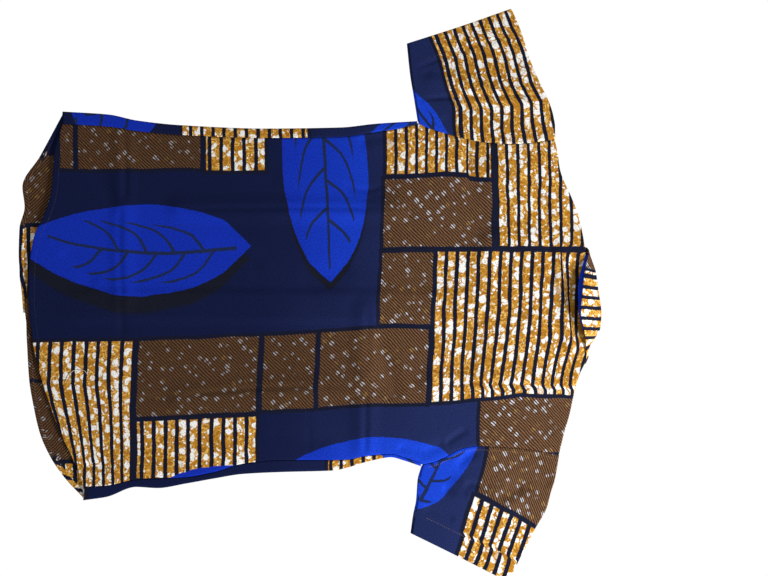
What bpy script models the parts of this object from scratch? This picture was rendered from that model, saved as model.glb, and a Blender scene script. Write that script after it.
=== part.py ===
"""A short-sleeved print shirt with a collar, laid face down on a surface.

The hem is at -X, the neck at +X, the wearer's left sleeve at +Y and the surface at z = 0.
Sizes in the tables are millimetres.  Each panel is a wall of cloth through a grid of points:
the outline curves give the plan, and two height functions give the level of the lower and
the upper layer.
"""
import math

import bpy
import bmesh
import numpy as np
from mathutils import Vector

MM = 0.001

# Cloth and layers
WALL = 1.2
GAP = 0.3
HALF_WALL = WALL / 2
LOWER_LEVEL = HALF_WALL
OVERLAP_STEP = WALL + GAP
UPPER_LEVEL = 3.9
SHOULDER_RETURN = 8.0

# Buttons lie on the surface under the raised front edge
BUTTON_COUNT = 7
BUTTON_RADIUS = 5.5
BUTTON_THICKNESS = 1.7
BUTTON_RIM = 0.4
BUTTON_SIDES = 14
BUTTON_FIRST = 258.0
BUTTON_PITCH = 84.0

# Centre of the body, where the two fronts overlap, and the raised zones over the buttons
# and the folded collar: each pair is where the lift starts to fade and where it ends
CENTRE = -15.0
LIFT = BUTTON_THICKNESS + GAP
BAND_HALF_WIDTH = (14, 28)
BAND_START = (-365, -290)
COLLAR_HALF_WIDTH = (88, 118)
COLLAR_START = (205, 240)

# The stand's seam: its distance from the neckline, its stations beside the two shoulder
# folds, and how much narrower the stand is at those folds, with the reach in stations
SEAM_CLEAR = 0.45
FRONT_STATIONS = 0.86
FOLD_STATIONS = (0.07, 0.035)
FOLD_SHARES = (0.4, 0.85)
CREASE_REACH = (0.08, 0.2)
CREASE_SHARE = 0.6
OVERLAP_CLEAR = 2.0

# Rows and columns of the cloth grids
CURVE_POINTS = 400
BODY_ROWS = 23
CHEST_ROWS = 9
SHOULDER_COLUMNS = 6
NECK_COLUMNS = 10
LEFT_FRONT_COLUMNS = (-24, -4, 13, 30, 44)
RIGHT_FRONT_COLUMNS = (-4, -25, -34, -43, -60, -75)
FIXED_COLUMNS = 4
SLEEVE_ROWS = 9
TURN_STEPS = 4
COLLAR_WIDTH_STEPS = 4

# Columns: along, across.  Back hem, from the wearer's right side to the left.
BACK_HEM = (
    (-307, -259), (-323, -217), (-338, -186), (-352, -148), (-364, -111), (-376, -58),
    (-381, 0), (-380, 36), (-373, 80), (-361, 105), (-350, 140), (-346, 189), (-335, 231),
)
# Columns: along, across.  Front hems, from the centre edge to the side.
LEFT_FRONT_HEM = (
    (-389, -24), (-391, 10), (-395, 55), (-394, 90), (-387, 119), (-390, 146),
    (-366, 188), (-335, 245.5),
)
RIGHT_FRONT_HEM = (
    (-385, -4), (-386, -26), (-384, -62), (-381, -113), (-375, -150), (-366, -188),
    (-351, -221), (-333, -247), (-307, -275),
)
# Columns: along, side seam on the upper layer, folded edge of the body.
LEFT_SIDE = (
    (-335, 231, 248), (-273, 227.5, 244), (-235, 221.5, 236), (-174, 216, 229.5),
    (-59, 212, 225), (40, 213.5, 226.5), (88, 220, 231.5), (121, 225, 233.7),
    (144, 230.5, 235),
)
RIGHT_SIDE = (
    (-307, -259, -277.5), (-276, -257.5, -273), (-236, -249.3, -259.5), (-207, -248, -261),
    (-169, -246, -255), (-130, -239, -248), (-92, -228, -242), (-44, -223, -239.5),
    (30, -222.8, -237.3), (52, -222, -232.7), (70, -218, -227), (88, -216, -222.6),
    (108, -214.8, -219.3), (128, -219.8, -224.3), (149, -227, -231.5),
)
# Columns: along, across.  Armhole seams, from the armpit to the shoulder.
LEFT_ARMHOLE = (
    (144, 232.7), (155, 227), (170, 222), (190, 216), (211, 210.6), (238, 206),
    (276, 204), (311, 207), (329.5, 210),
)
RIGHT_ARMHOLE = (
    (149, -229.2), (165, -226), (182, -218.7), (204, -207.5), (226, -204), (249, -205),
    (292, -208), (335.5, -216),
)
# Columns: along, across.  Folded shoulder edges, from the armhole to the neck.
LEFT_SHOULDER = (
    (330, 210), (334, 191), (337, 170), (353, 131), (361, 110), (366, 90), (371.5, 57),
)
RIGHT_SHOULDER = (
    (335.5, -216), (342, -189), (350, -161), (356, -133), (359.5, -118), (364, -105),
    (369, -95), (372.5, -86.5),
)
# Columns: along, across.  Back neckline, from the wearer's right to the left.
BACK_NECK = (
    (372.5, -86.5), (372, -66), (368.5, -50), (364, -34), (361, -12), (360.5, 8),
    (362.5, 23), (367, 40), (371.5, 57),
)
# Columns: distance across from the centre of the body, along.  Half of the front neckline.
FRONT_NECK = ((0, 297), (23, 303), (49, 322), (63, 343), (71, 361))

# Columns: along, across.  Sleeve edges, from the body to the cuff.
LEFT_SLEEVE_UNDERARM = ((144.6, 235), (139.5, 267), (134.5, 297), (130, 339.5))
LEFT_SLEEVE_SHOULDER = (
    (330.5, 210.5), (330.5, 227), (328, 243), (321, 264), (313, 280), (296, 320),
    (285, 355), (271.5, 387),
)
RIGHT_SLEEVE_UNDERARM = ((149.6, -231.5), (144.5, -250), (142.5, -277), (138.5, -297), (135, -321.5))
RIGHT_SLEEVE_SHOULDER = (
    (336, -216.5), (330, -250), (325, -266), (319, -288), (304, -315), (292, -338),
    (281, -360), (267.5, -388),
)
# Columns: along, across.  Cuffs, from the underarm to the shoulder side.
LEFT_CUFF = ((130, 339.5), (200, 362), (271.5, 387))
RIGHT_CUFF = ((135, -321.5), (195, -351), (250, -379), (267.5, -388))

# Columns: start along, start across, end along, end across, half width, height.
FOLDS = (
    (-176, 116, 114, 116, 26, 2.6),
    (-176, -138, 60, -124, 26, 2.4),
    (161, -120, 350, -122, 24, 2.8),
    (-253, 205, -253, -7, 24, 2.2),
    (75, -20, 72, -205, 26, 2.6),
    (338, 62, 346, -8, 18, 3.2),
    (346, -8, 352, -68, 18, 3.2),
    (236, 168, 240, 62, 24, 2.2),
    (205, -262, 268, -284, 26, 3.2),
    (168, 292, 290, 262, 24, 2.4),
)

# The collar round the neck.  Station 0 to 1 is the wearer's left front, 1 to 2 the back
# and 2 to 3 the right front.  Side tells where the fall lies from the stand, in degrees:
# 90 above it, 0 beside it, -90 below it.
# Columns: station, roll along, roll across, roll level, roll radius, side,
# edge along, edge across, edge level.
COLLAR = (
    (0.00, 321, -14.0, 1.6, 1.0, -90, 262, -3, 0.6),
    (0.30, 328, 6, 1.6, 1.0, -90, 284, 32, 0.6),
    (0.60, 346, 24, 1.6, 1.0, -90, 318, 58, 0.6),
    (0.80, 361, 35, 1.6, 1.0, -90, 344, 66, 0.6),
    (0.93, 372, 43, 1.7, 1.0, -80, 363, 67, 0.65),
    (0.965, 376, 47, 2.2, 1.1, -50, 374, 64, 0.9),
    (1.00, 378.5, 49, 3.0, 1.3, 10, 375.5, 61, 4.5),
    (1.035, 380, 46, 3.0, 1.5, 50, 374.5, 55, 7.5),
    (1.10, 382.5, 40.5, 3.0, 1.8, 80, 372, 46, 9.5),
    (1.20, 385.5, 31, 3.0, 2.0, 90, 369, 34, 13),
    (1.40, 389, 6, 2.9, 2.2, 90, 365, 8, 20),
    (1.60, 393, -25, 2.9, 2.2, 90, 362, -24, 23),
    (1.75, 391, -47, 2.9, 2.1, 90, 367, -47, 18),
    (1.80, 387, -56, 2.9, 1.9, 90, 369, -56, 15),
    (1.90, 379, -70, 3.0, 1.2, 80, 373.5, -75, 9.5),
    (1.965, 377, -81, 3.0, 1.1, 50, 376, -88, 7),
    (2.00, 377.5, -83.5, 3.0, 1.1, 10, 377.2, -93, 4.5),
    (2.035, 375.5, -80, 2.2, 1.0, -50, 375.5, -95, 0.9),
    (2.07, 371.5, -74.5, 1.7, 1.0, -80, 363, -97.5, 0.65),
    (2.20, 361, -65, 1.6, 1.0, -90, 344, -96, 0.6),
    (2.40, 346, -54, 1.6, 1.0, -90, 318, -88, 0.6),
    (2.70, 328, -36, 1.6, 1.0, -90, 284, -62, 0.6),
    (3.00, 321, -16.0, 1.6, 1.0, -90, 262, -27, 0.6),
)

# Plain colour and roughness of each kind of piece
CLOTH_COLOURS = {
    "back": ((0.02, 0.03, 0.11), 0.8),
    "front": ((0.10, 0.06, 0.03), 0.8),
    "sleeve": ((0.45, 0.28, 0.07), 0.8),
    "stand": ((0.02, 0.05, 0.45), 0.8),
    "fall": ((0.50, 0.33, 0.10), 0.8),
    "button": ((0.02, 0.02, 0.04), 0.35),
}


def clear_scene():
    """Remove every object that the file starts with."""
    for item in list(bpy.data.objects):
        bpy.data.objects.remove(item, do_unlink=True)


def gentle_slopes(rows, knots):
    """Slopes for a smooth curve that never swings past the rows of its table."""
    steps = np.diff(rows, axis=0) / np.diff(knots)[:, None]
    slopes = np.vstack((steps[:1], steps))
    before, after = steps[:-1], steps[1:]
    same_way = before * after > 0
    total = np.where(same_way, before + after, 1.0)
    slopes[1:-1] = np.where(same_way, 2 * before * after / total, 0.0)
    return slopes


def smooth_rows(table, stations):
    """Rows of a table at new stations of its first column, along a smooth curve."""
    rows = np.array(table, float)
    knots = rows[:, 0]
    slopes = gentle_slopes(rows, knots)
    stations = np.clip(np.array(stations, float), knots[0], knots[-1])
    start = np.clip(np.searchsorted(knots, stations, side="right") - 1, 0, len(knots) - 2)
    width = knots[start + 1] - knots[start]
    part = ((stations - knots[start]) / width)[:, None]
    width = width[:, None]
    result = rows[start] * (1 + 2 * part) * (1 - part) ** 2
    result += slopes[start] * width * part * (1 - part) ** 2
    result += rows[start + 1] * part ** 2 * (3 - 2 * part)
    result += slopes[start + 1] * width * part ** 2 * (part - 1)
    return result


def curve_points(points, fractions):
    """Points at fractions of the length of a smooth plan curve through the given points."""
    points = np.array(points, float)
    chords = np.linalg.norm(np.diff(points, axis=0), axis=1)
    knots = np.concatenate(([0.0], np.cumsum(chords)))
    stations = np.linspace(0, knots[-1], CURVE_POINTS)
    dense = smooth_rows(np.column_stack((knots, points)), stations)[:, 1:]
    lengths = np.concatenate(([0.0], np.cumsum(np.linalg.norm(np.diff(dense, axis=0), axis=1))))
    wanted = np.array(fractions, float) * lengths[-1]
    return np.column_stack([np.interp(wanted, lengths, dense[:, axis]) for axis in (0, 1)])


def normals_of(points):
    """Unit plan normals of a row of points, to the right of its direction."""
    run = np.gradient(points, axis=0)
    run /= np.linalg.norm(run, axis=1)[:, None]
    return np.column_stack((run[:, 1], -run[:, 0]))


def rise(value, start, end):
    """Smooth step from 0 at start to 1 at end."""
    part = min(max((value - start) / (end - start), 0.0), 1.0)
    return part * part * (3 - 2 * part)


def lift(along, across):
    """How far the buttons and the collar's fall raise the layers over the surface."""
    off_centre = abs(across - CENTRE)
    over_buttons = (1 - rise(off_centre, *BAND_HALF_WIDTH)) * rise(along, *BAND_START)
    over_collar = (1 - rise(off_centre, *COLLAR_HALF_WIDTH)) * rise(along, *COLLAR_START)
    return LIFT * max(over_buttons, over_collar)


def fold_height(along, across):
    """Height of the largest folds of the upper layer."""
    height = 0.0
    for start_x, start_y, end_x, end_y, half_width, top in FOLDS:
        run = Vector((end_x - start_x, end_y - start_y))
        offset = Vector((along - start_x, across - start_y))
        share = offset.dot(run) / run.length_squared
        distance = (offset - run * min(max(share, 0.0), 1.0)).length
        if distance < half_width:
            height = max(height, top * math.cos(math.pi / 2 * distance / half_width) ** 2)
    return height


def lower_height(along, across):
    """Mid level of the layer that lies on the surface."""
    return LOWER_LEVEL + lift(along, across)


def upper_height(along, across):
    """Mid level of the upper layer."""
    return UPPER_LEVEL + lift(along, across) + fold_height(along, across)


def edge_turn(point, outward, low, high, steps=TURN_STEPS):
    """Half circle from the lower to the upper layer, its outer face at the given edge."""
    radius = (high - low) / 2
    centre = np.array(point, float) - np.array(outward, float) * (radius + HALF_WALL)
    turn = []
    for step in range(steps + 1):
        angle = math.pi * step / steps
        plan = centre + np.array(outward, float) * radius * math.sin(angle)
        turn.append((plan[0], plan[1], low + radius * (1 - math.cos(angle))))
    return turn


def coons(low_side, high_side, start, end, row_shares, column_shares):
    """Plan grid between four edge curves, rows from start to end."""
    grid = np.zeros((len(row_shares), len(column_shares), 2))
    for row, down in enumerate(row_shares):
        for column, over in enumerate(column_shares):
            sides = (1 - over) * low_side[row] + over * high_side[row]
            ends = (1 - down) * start[column] + down * end[column]
            corners = (1 - down) * ((1 - over) * low_side[0] + over * high_side[0])
            corners = corners + down * ((1 - over) * low_side[-1] + over * high_side[-1])
            grid[row, column] = sides + ends - corners
    return grid


def cloth(name, grid, kind, collection, closed=False, even=True):
    """One wall of cloth through a grid of points; None leaves a place open."""
    mesh = bpy.data.meshes.new(name)
    build = bmesh.new()
    corners = []
    for row in grid:
        corners.append([None if p is None else build.verts.new(Vector(p) * MM) for p in row])
    for first, second in zip(corners, corners[1:]):
        count = len(first)
        for column in range(count if closed else count - 1):
            after = (column + 1) % count
            face = (first[column], first[after], second[after], second[column])
            if None not in face:
                build.faces.new(face)
    loose = [corner for corner in build.verts if not corner.link_faces]
    bmesh.ops.delete(build, geom=loose, context="VERTS")
    bmesh.ops.recalc_face_normals(build, faces=build.faces)
    build.to_mesh(mesh)
    build.free()
    mesh.shade_smooth()
    item = bpy.data.objects.new(name, mesh)
    collection.objects.link(item)
    wall = item.modifiers.new("wall", "SOLIDIFY")
    wall.thickness = WALL * MM
    wall.offset = 0
    wall.use_even_offset = even
    item.data.materials.append(cloth_material(kind))
    return item


def cloth_material(kind):
    """Plain material of one kind of piece."""
    material = bpy.data.materials.get(kind)
    if material is None:
        material = bpy.data.materials.new(kind)
        material.use_nodes = True
        colour, roughness = CLOTH_COLOURS[kind]
        shader = material.node_tree.nodes["Principled BSDF"]
        shader.inputs["Base Color"].default_value = (*colour, 1)
        shader.inputs["Roughness"].default_value = roughness
        shader.inputs["Metallic"].default_value = 0
    return material


def side_curves(side, armhole):
    """Side seam, folded edge and armhole of one side, at the stations that all panels share."""
    stations = np.linspace(side[0][0], side[-1][0], BODY_ROWS + 1)
    rows = smooth_rows(side, stations)
    seam = rows[:, (0, 1)]
    fold = rows[:, (0, 2)]
    chest = curve_points(armhole, np.linspace(0, 1, CHEST_ROWS + 1))
    return seam, fold, chest


def shares_along(points):
    """Share of the whole run along X at each point of an edge."""
    return (points[:, 0] - points[0, 0]) / (points[-1, 0] - points[0, 0])


def shoulder_edge(points):
    """Points of a folded shoulder edge, and their outward normals."""
    line = curve_points(points, np.linspace(0, 1, SHOULDER_COLUMNS + 1))
    outward = normals_of(line)
    if outward[0, 0] < 0:
        outward = -outward
    return line, outward


def turn_depth(along, across):
    """How far the flat upper layer stays inside a folded edge."""
    return (upper_height(along, across) - lower_height(along, across)) / 2 + HALF_WALL


def back_panel(collection):
    """The back, with both shoulder edges turned over towards the front."""
    right_seam, _, right_chest = side_curves(RIGHT_SIDE, RIGHT_ARMHOLE)
    left_seam, _, left_chest = side_curves(LEFT_SIDE, LEFT_ARMHOLE)
    right_edge = np.vstack((right_seam, right_chest[1:])) + (0, GAP / 2)
    left_edge = np.vstack((left_seam, left_chest[1:])) - (0, GAP / 2)
    right_line, right_out = shoulder_edge(RIGHT_SHOULDER)
    left_line, left_out = shoulder_edge(LEFT_SHOULDER[::-1])
    right_line[0] = right_line[0] + (0, GAP / 2)
    left_line[-1] = left_line[-1] - (0, GAP / 2)
    neck = curve_points(BACK_NECK, np.linspace(0, 1, NECK_COLUMNS + 1))
    line = np.vstack((right_line, neck[1:-1], left_line))
    outward = np.vstack((right_out, np.zeros((NECK_COLUMNS - 1, 2)), left_out))
    depth = np.array([turn_depth(*point) for point in line])
    end = line - outward * depth[:, None]
    right_edge[-1] = end[0]
    left_edge[-1] = end[-1]
    across = (line[:, 1] - line[0, 1]) / (line[-1, 1] - line[0, 1])
    hem = curve_points(BACK_HEM, across)
    hem[0] = right_edge[0]
    hem[-1] = left_edge[0]
    rows = (shares_along(right_edge) + shares_along(left_edge)) / 2
    plan = coons(right_edge, left_edge, hem, end, rows, across)
    grid = [[(*point, upper_height(*point)) for point in row] for row in plan]
    turned = [None] * len(line)
    for column in range(len(line)):
        if outward[column].any():
            x, y = line[column]
            turn = edge_turn(line[column], outward[column], lower_height(x, y), upper_height(x, y))
            inner = line[column] - outward[column] * (depth[column] + SHOULDER_RETURN)
            turned[column] = turn[-2::-1] + [(*inner, lower_height(x, y))]
    for step in range(TURN_STEPS + 1):
        grid.append([None if points is None else points[step] for points in turned])
    return cloth("back", grid, "back", collection)


def front_neck(columns, sign):
    """Neckline points of one front, at its fixed columns and at the shoulder corner."""
    distance = [abs(across - CENTRE) for across in columns]
    points = np.column_stack((smooth_rows(FRONT_NECK, distance)[:, 1], columns))
    shoulder = LEFT_SHOULDER if sign > 0 else RIGHT_SHOULDER
    line, outward = shoulder_edge(shoulder[::-1])
    depth = np.array([turn_depth(*point) for point in line])
    set_back = line - outward * (depth + SHOULDER_RETURN + GAP)[:, None]
    return points, set_back


def front_panel(name, side, armhole, hem, columns, overlap, collection):
    """One front, wrapped round the folded side up to the side seam on the upper layer."""
    sign = 1 if side[0][1] > 0 else -1
    seam, fold, chest = side_curves(side, armhole)
    seam = seam + (0, sign * GAP / 2)
    chest = chest - (0, sign * GAP / 2)
    folded = np.array([point - (0, sign * turn_depth(*point)) for point in fold])
    neck, set_back = front_neck(columns, sign)
    last_x = chest[-1, 0] - turn_depth(*chest[-1]) - SHOULDER_RETURN - GAP
    share = (last_x - chest[-2, 0]) / (chest[-1, 0] - chest[-2, 0])
    chest[-1] = chest[-2] + (chest[-1] - chest[-2]) * share
    outer = np.vstack((folded, chest[1:]))
    end = np.vstack((neck, set_back))
    end[-1] = outer[-1]
    down = shares_along(outer)
    over = (end[:, 1] - end[0, 1]) / (end[-1, 1] - end[0, 1])
    centre_edge = hem[0][0] + (end[0, 0] - hem[0][0]) * down
    inner = np.column_stack((centre_edge, np.full(len(down), columns[0])))
    start = curve_points(hem, over)
    start[0] = inner[0]
    start[-1] = outer[0]
    plan = coons(inner, outer, start, end, down, over)
    plan[:, :FIXED_COLUMNS, 1] = columns[:FIXED_COLUMNS]
    grid = []
    for row, points in enumerate(plan):
        line_points = [(*p, lower_height(*p) + overlap(*p)) for p in points]
        if row <= BODY_ROWS:
            x, y = fold[row]
            turn = edge_turn(fold[row], (0, sign), lower_height(x, y), upper_height(x, y))
            top = np.linspace(turn[-1][:2], seam[row], 3)[1:]
            line_points += turn[1:] + [(*p, upper_height(*p)) for p in top]
        else:
            line_points += [None] * (TURN_STEPS + 2)
        grid.append(line_points)
    return cloth(name, grid, "front", collection)


def sleeve(name, armhole, underarm, shoulder, cuff, sign, collection):
    """One sleeve, a flat tube from the armhole seam to the cuff."""
    over = np.linspace(0, 1, CHEST_ROWS + 1)
    down = np.linspace(0, 1, SLEEVE_ROWS + 1)
    low_edge = curve_points(underarm, down)
    high_edge = curve_points(shoulder, down)
    start = curve_points(armhole, over) + (0, sign * GAP / 2)
    end = curve_points(cuff, over)
    start[0] = low_edge[0]
    start[-1] = high_edge[0]
    plan = coons(low_edge, high_edge, start, end, down, over)
    grid = []
    for points in plan:
        run = points[-1] - points[0]
        outward = run / np.linalg.norm(run)
        first = edge_turn(points[0], -outward, lower_height(*points[0]), upper_height(*points[0]))
        last = edge_turn(points[-1], outward, lower_height(*points[-1]), upper_height(*points[-1]))
        ring = list(first)
        ring += [(*p, upper_height(*p)) for p in points[1:-1]]
        ring += last[::-1]
        ring += [(*p, lower_height(*p)) for p in points[-2:0:-1]]
        grid.append(ring)
    return cloth(name, grid, "sleeve", collection, closed=True)


def front_seam(columns, sign, stations):
    """The stand's seam along one front neckline, from the centre to the shoulder fold."""
    neck, set_back = front_neck(columns, sign)
    corner = set_back[0]
    line = np.vstack((neck, corner))
    order = np.argsort(line[:, 1])
    levels = [CENTRE + sign * GAP]
    levels += [y for y in columns if sign * (y - CENTRE) > OVERLAP_CLEAR]
    levels.append(corner[1] - sign * SEAM_CLEAR)
    points = []
    for y in levels:
        x = np.interp(y, line[order, 1], line[order, 0]) + SEAM_CLEAR
        share = abs(y - CENTRE) / abs(corner[1] - CENTRE)
        points.append((stations[0] + (stations[1] - stations[0]) * share, x, y, lower_height(x, y)))
    return points


def shoulder_seam(corner, tip, station, way):
    """The stand's seam round the end of a turned shoulder edge, from the front to the back."""
    inward = -1 if tip[1] > CENTRE else 1
    low = lower_height(*tip)
    high = upper_height(*tip)
    side_step = np.array((0, inward * 2 * SEAM_CLEAR))
    near, far = [corner + (tip - corner) * share + side_step for share in FOLD_SHARES]
    before, beside = FOLD_STATIONS
    return [
        (station - before * way, *near, low),
        (station - beside * way, *far, low + GAP),
        (station, tip[0] + SEAM_CLEAR, tip[1] + inward * WALL, (low + high) / 2),
        (station + beside * way, tip[0] - WALL, tip[1] + inward * 2 * WALL, high),
    ]


def collar_seam():
    """Station, place and level along the whole neckline seam."""
    left_corner = front_neck(LEFT_FRONT_COLUMNS, 1)[1][0]
    right_corner = front_neck(RIGHT_FRONT_COLUMNS, -1)[1][0]
    neck = curve_points(BACK_NECK, np.linspace(0, 1, NECK_COLUMNS + 1))[::-1]
    points = front_seam(LEFT_FRONT_COLUMNS, 1, (0.0, FRONT_STATIONS))
    points += shoulder_seam(left_corner, neck[0], 1.0, 1)
    for index in range(1, NECK_COLUMNS):
        x = neck[index, 0] + SEAM_CLEAR
        y = neck[index, 1]
        points.append((1 + index / NECK_COLUMNS, x, y, upper_height(x, y)))
    points += shoulder_seam(right_corner, neck[-1], 2.0, -1)[::-1]
    right = front_seam(RIGHT_FRONT_COLUMNS, -1, (3.0, 3.0 - FRONT_STATIONS))
    return np.array(points + right[::-1])


def collar_sections():
    """Centre lines of the stand and of the fall across the collar, station by station."""
    stands = []
    falls = []
    seams = collar_seam()
    widths = np.linspace(0, 1, COLLAR_WIDTH_STEPS + 1)
    for seam, row in zip(seams, smooth_rows(COLLAR, seams[:, 0])):
        place = seam[1:]
        radius = row[4]
        side = math.radians(min(max(row[5], -90), 90))
        out = row[1:3] - place[:2]
        out /= np.linalg.norm(out)
        beside = np.array((-out[1], out[0]))
        if beside[1] * (row[2] - CENTRE) < 0:
            beside = -beside
        toward = np.array((*(beside * math.cos(side)), math.sin(side)))
        outward = np.array((*out, 0.0))
        middle = row[1:4] - outward * (radius + HALF_WALL)
        bend = []
        for angle in np.linspace(0, math.pi, TURN_STEPS + 1):
            spoke = outward * math.sin(angle) - toward * math.cos(angle)
            bend.append(middle + spoke * radius)
        crease = 1 - rise(min(abs(seam[0] - 1), abs(seam[0] - 2)), *CREASE_REACH)
        stand_end = bend[0] - outward * 2 * SEAM_CLEAR
        stand_end = stand_end + (place - stand_end) * CREASE_SHARE * crease
        stands.append([place + (stand_end - place) * share for share in widths])
        falls.append(bend + [bend[-1] + (row[6:9] - bend[-1]) * share for share in widths[1:]])
    return stands, falls


def collar(collection):
    """The stand round the neckline and the fall folded over it."""
    stands, falls = collar_sections()
    cloth("collar_stand", stands, "stand", collection, even=False)
    cloth("collar_fall", falls, "fall", collection, even=False)


def buttons(collection):
    """Front buttons on the surface, just under the raised front edge."""
    for index in range(BUTTON_COUNT):
        along = BUTTON_FIRST - BUTTON_PITCH * index
        place = Vector((along, CENTRE, BUTTON_THICKNESS / 2)) * MM
        bpy.ops.mesh.primitive_cylinder_add(
            vertices=BUTTON_SIDES, radius=BUTTON_RADIUS * MM, depth=BUTTON_THICKNESS * MM,
            location=place)
        item = bpy.context.active_object
        item.name = f"button_{index + 1}"
        item.data.name = item.name
        for owner in list(item.users_collection):
            owner.objects.unlink(item)
        collection.objects.link(item)
        rim = item.modifiers.new("rim", "BEVEL")
        rim.width = BUTTON_RIM * MM
        rim.segments = 1
        item.data.materials.append(cloth_material("button"))
        item.data.shade_smooth()
        item.data.set_sharp_from_angle(angle=math.radians(35))


def right_overlap(along, across):
    """The right front lies on the left one where they overlap."""
    return OVERLAP_STEP * rise(across, RIGHT_FRONT_COLUMNS[2], RIGHT_FRONT_COLUMNS[1])


def left_overlap(along, across):
    """The left front stays lowest."""
    return 0.0


def main():
    """Build the whole shirt."""
    clear_scene()
    collection = bpy.data.collections.new("african_print_shirt")
    bpy.context.scene.collection.children.link(collection)
    back_panel(collection)
    front_panel("front_left", LEFT_SIDE, LEFT_ARMHOLE, LEFT_FRONT_HEM,
                LEFT_FRONT_COLUMNS, left_overlap, collection)
    front_panel("front_right", RIGHT_SIDE, RIGHT_ARMHOLE, RIGHT_FRONT_HEM,
                RIGHT_FRONT_COLUMNS, right_overlap, collection)
    sleeve("sleeve_left", LEFT_ARMHOLE, LEFT_SLEEVE_UNDERARM, LEFT_SLEEVE_SHOULDER,
           LEFT_CUFF, 1, collection)
    sleeve("sleeve_right", RIGHT_ARMHOLE, RIGHT_SLEEVE_UNDERARM, RIGHT_SLEEVE_SHOULDER,
           RIGHT_CUFF, -1, collection)
    collar(collection)
    buttons(collection)


main()
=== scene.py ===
"""Looks of the short-sleeved print shirt that lies face down on a pale surface.

Sizes are millimetres until a mesh is made.  The hem is at -X, the neck at +X and the
wearer's left sleeve at +Y.  Each panel is a fine grid over the same outlines as its solid.
Its UV map "cut" holds where each point lies in the printed cloth, in metres, so that the
print bends with the folds.
"""
import math

import bpy
import numpy as np
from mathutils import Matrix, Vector


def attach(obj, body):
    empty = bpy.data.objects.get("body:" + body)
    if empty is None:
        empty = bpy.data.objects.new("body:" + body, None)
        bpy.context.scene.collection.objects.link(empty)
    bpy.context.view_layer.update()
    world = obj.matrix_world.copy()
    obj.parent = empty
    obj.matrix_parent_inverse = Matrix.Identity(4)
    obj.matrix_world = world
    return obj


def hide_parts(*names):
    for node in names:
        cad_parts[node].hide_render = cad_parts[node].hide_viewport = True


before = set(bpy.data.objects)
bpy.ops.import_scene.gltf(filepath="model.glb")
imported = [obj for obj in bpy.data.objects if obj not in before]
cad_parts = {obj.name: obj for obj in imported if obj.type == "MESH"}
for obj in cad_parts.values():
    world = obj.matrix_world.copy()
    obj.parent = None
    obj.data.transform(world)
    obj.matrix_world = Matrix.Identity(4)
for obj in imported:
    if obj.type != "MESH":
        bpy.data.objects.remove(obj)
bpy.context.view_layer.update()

MM = 0.001
BODY = "root"

# Cloth and layers
SHELL = 0.5
HALF_SHELL = SHELL / 2
GAP = 0.1
LOWER_LEVEL = 0.35
UPPER_LEVEL = 3.9
OVERLAP_STEP = 1.5
SHOULDER_RETURN = 8.0
SEAM_DROP = 1.4
SHOULDER_LAP = 0.65
HEM_TURN = 6.0
BACK_HEM_WIDTH = 12.0
SLEEVE_HEM = 30.0
HEM_RADIUS = 0.35
HEM_ROWS = 4
HEM_TURN_STEPS = 5
# Columns: inset from the seam, share of the drop, place in the cut.
SEAM_PROFILE = ((0.0, 1.0, -0.8), (0.3, 0.45, 0.1), (1.0, 0.06, 1.0))
# Columns: inset, share of the drop.  The back's edge falls into the neckline's seam.
NECK_DROP = ((-0.05, 0.45), (0.1, 1.0))
NECK_INSET = 0.6

# Stitches
STITCH_PITCH = 3.2
STITCH_LENGTH = 2.2
STITCH_WIDTH = 0.45
STITCH_HEIGHT = 0.25
BUTTONHOLE_PITCH = 0.9
BUTTONHOLE_ASIDE = 0.8

# Centre of the body and the zones that the buttons and the folded collar raise
CENTRE = -15.0
LIFT = 2.0
BAND_HALF_WIDTH = (14, 28)
BAND_START = (-365, -290)
COLLAR_HALF_WIDTH = (88, 118)
COLLAR_START = (205, 240)

# The stand's seam, its stations beside the shoulder folds, and its narrow stretch there
SEAM_CLEAR = 0.3
FRONT_STATIONS = 0.86
FOLD_STATIONS = (0.07, 0.035)
FOLD_SHARES = (0.4, 0.85)
CREASE_REACH = (0.08, 0.2)
CREASE_SHARE = 0.6
OVERLAP_CLEAR = 2.0

# Rows and columns of the cloth grids
CURVE_POINTS = 1200
BODY_ROWS = 172
CHEST_ROWS = 76
SHOULDER_COLUMNS = 50
NECK_COLUMNS = 66
TURN_STEPS = 8
WRAP_STEPS = 6
SLEEVE_ROWS = 70
COLLAR_WIDTH_STEPS = 14
LEFT_FRONT_COLUMNS = np.linspace(-24, 44, 22)
RIGHT_FRONT_COLUMNS = np.linspace(-4, -75, 22)
LEFT_FIXED = 16
RIGHT_FIXED = 11
OVERLAP_FADE = (-34, -25)

# Columns: first and last share of the outline, points, distance aside.
BACK_HEM_ROW = (0.015, 0.985, 220, -8.0)
LEFT_ARMHOLE_ROW = (0.04, 0.97, 90, 6.0)
RIGHT_ARMHOLE_ROW = (0.04, 0.97, 90, -5.0)
LEFT_HEM_ROW = (0.02, 0.97, 120, -5.2)
RIGHT_HEM_ROW = (0.02, 0.97, 120, 5.2)
RIGHT_HEM_BELOW = (0.06, 0.97, 120, 5.2)
LEFT_CUFF_ROW = (0.06, 0.96, 80, -28.0)
RIGHT_CUFF_ROW = (0.06, 0.96, 80, 28.0)

# Buttons on the underside
BUTTON_COUNT = 7
BUTTON_RADIUS = 5.5
BUTTON_THICKNESS = 1.7
BUTTON_FIRST = 258.0
BUTTON_PITCH = 84.0
BUTTONHOLE = 16.0
BUTTON_SIDES = 32
# Columns: share of the radius, share of the thickness.  From the dished middle up and round.
BUTTON_PROFILE = (
    (0, 0.55), (0.55, 0.58), (0.66, 0.92), (0.8, 1), (0.93, 0.9), (1, 0.6), (0.95, 0.25),
    (0.75, 0.05), (0, 0),
)
THREAD_LENGTH = 3.2
THREAD_ASIDE = 1.1
THREAD_LEVEL = 0.42
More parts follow.
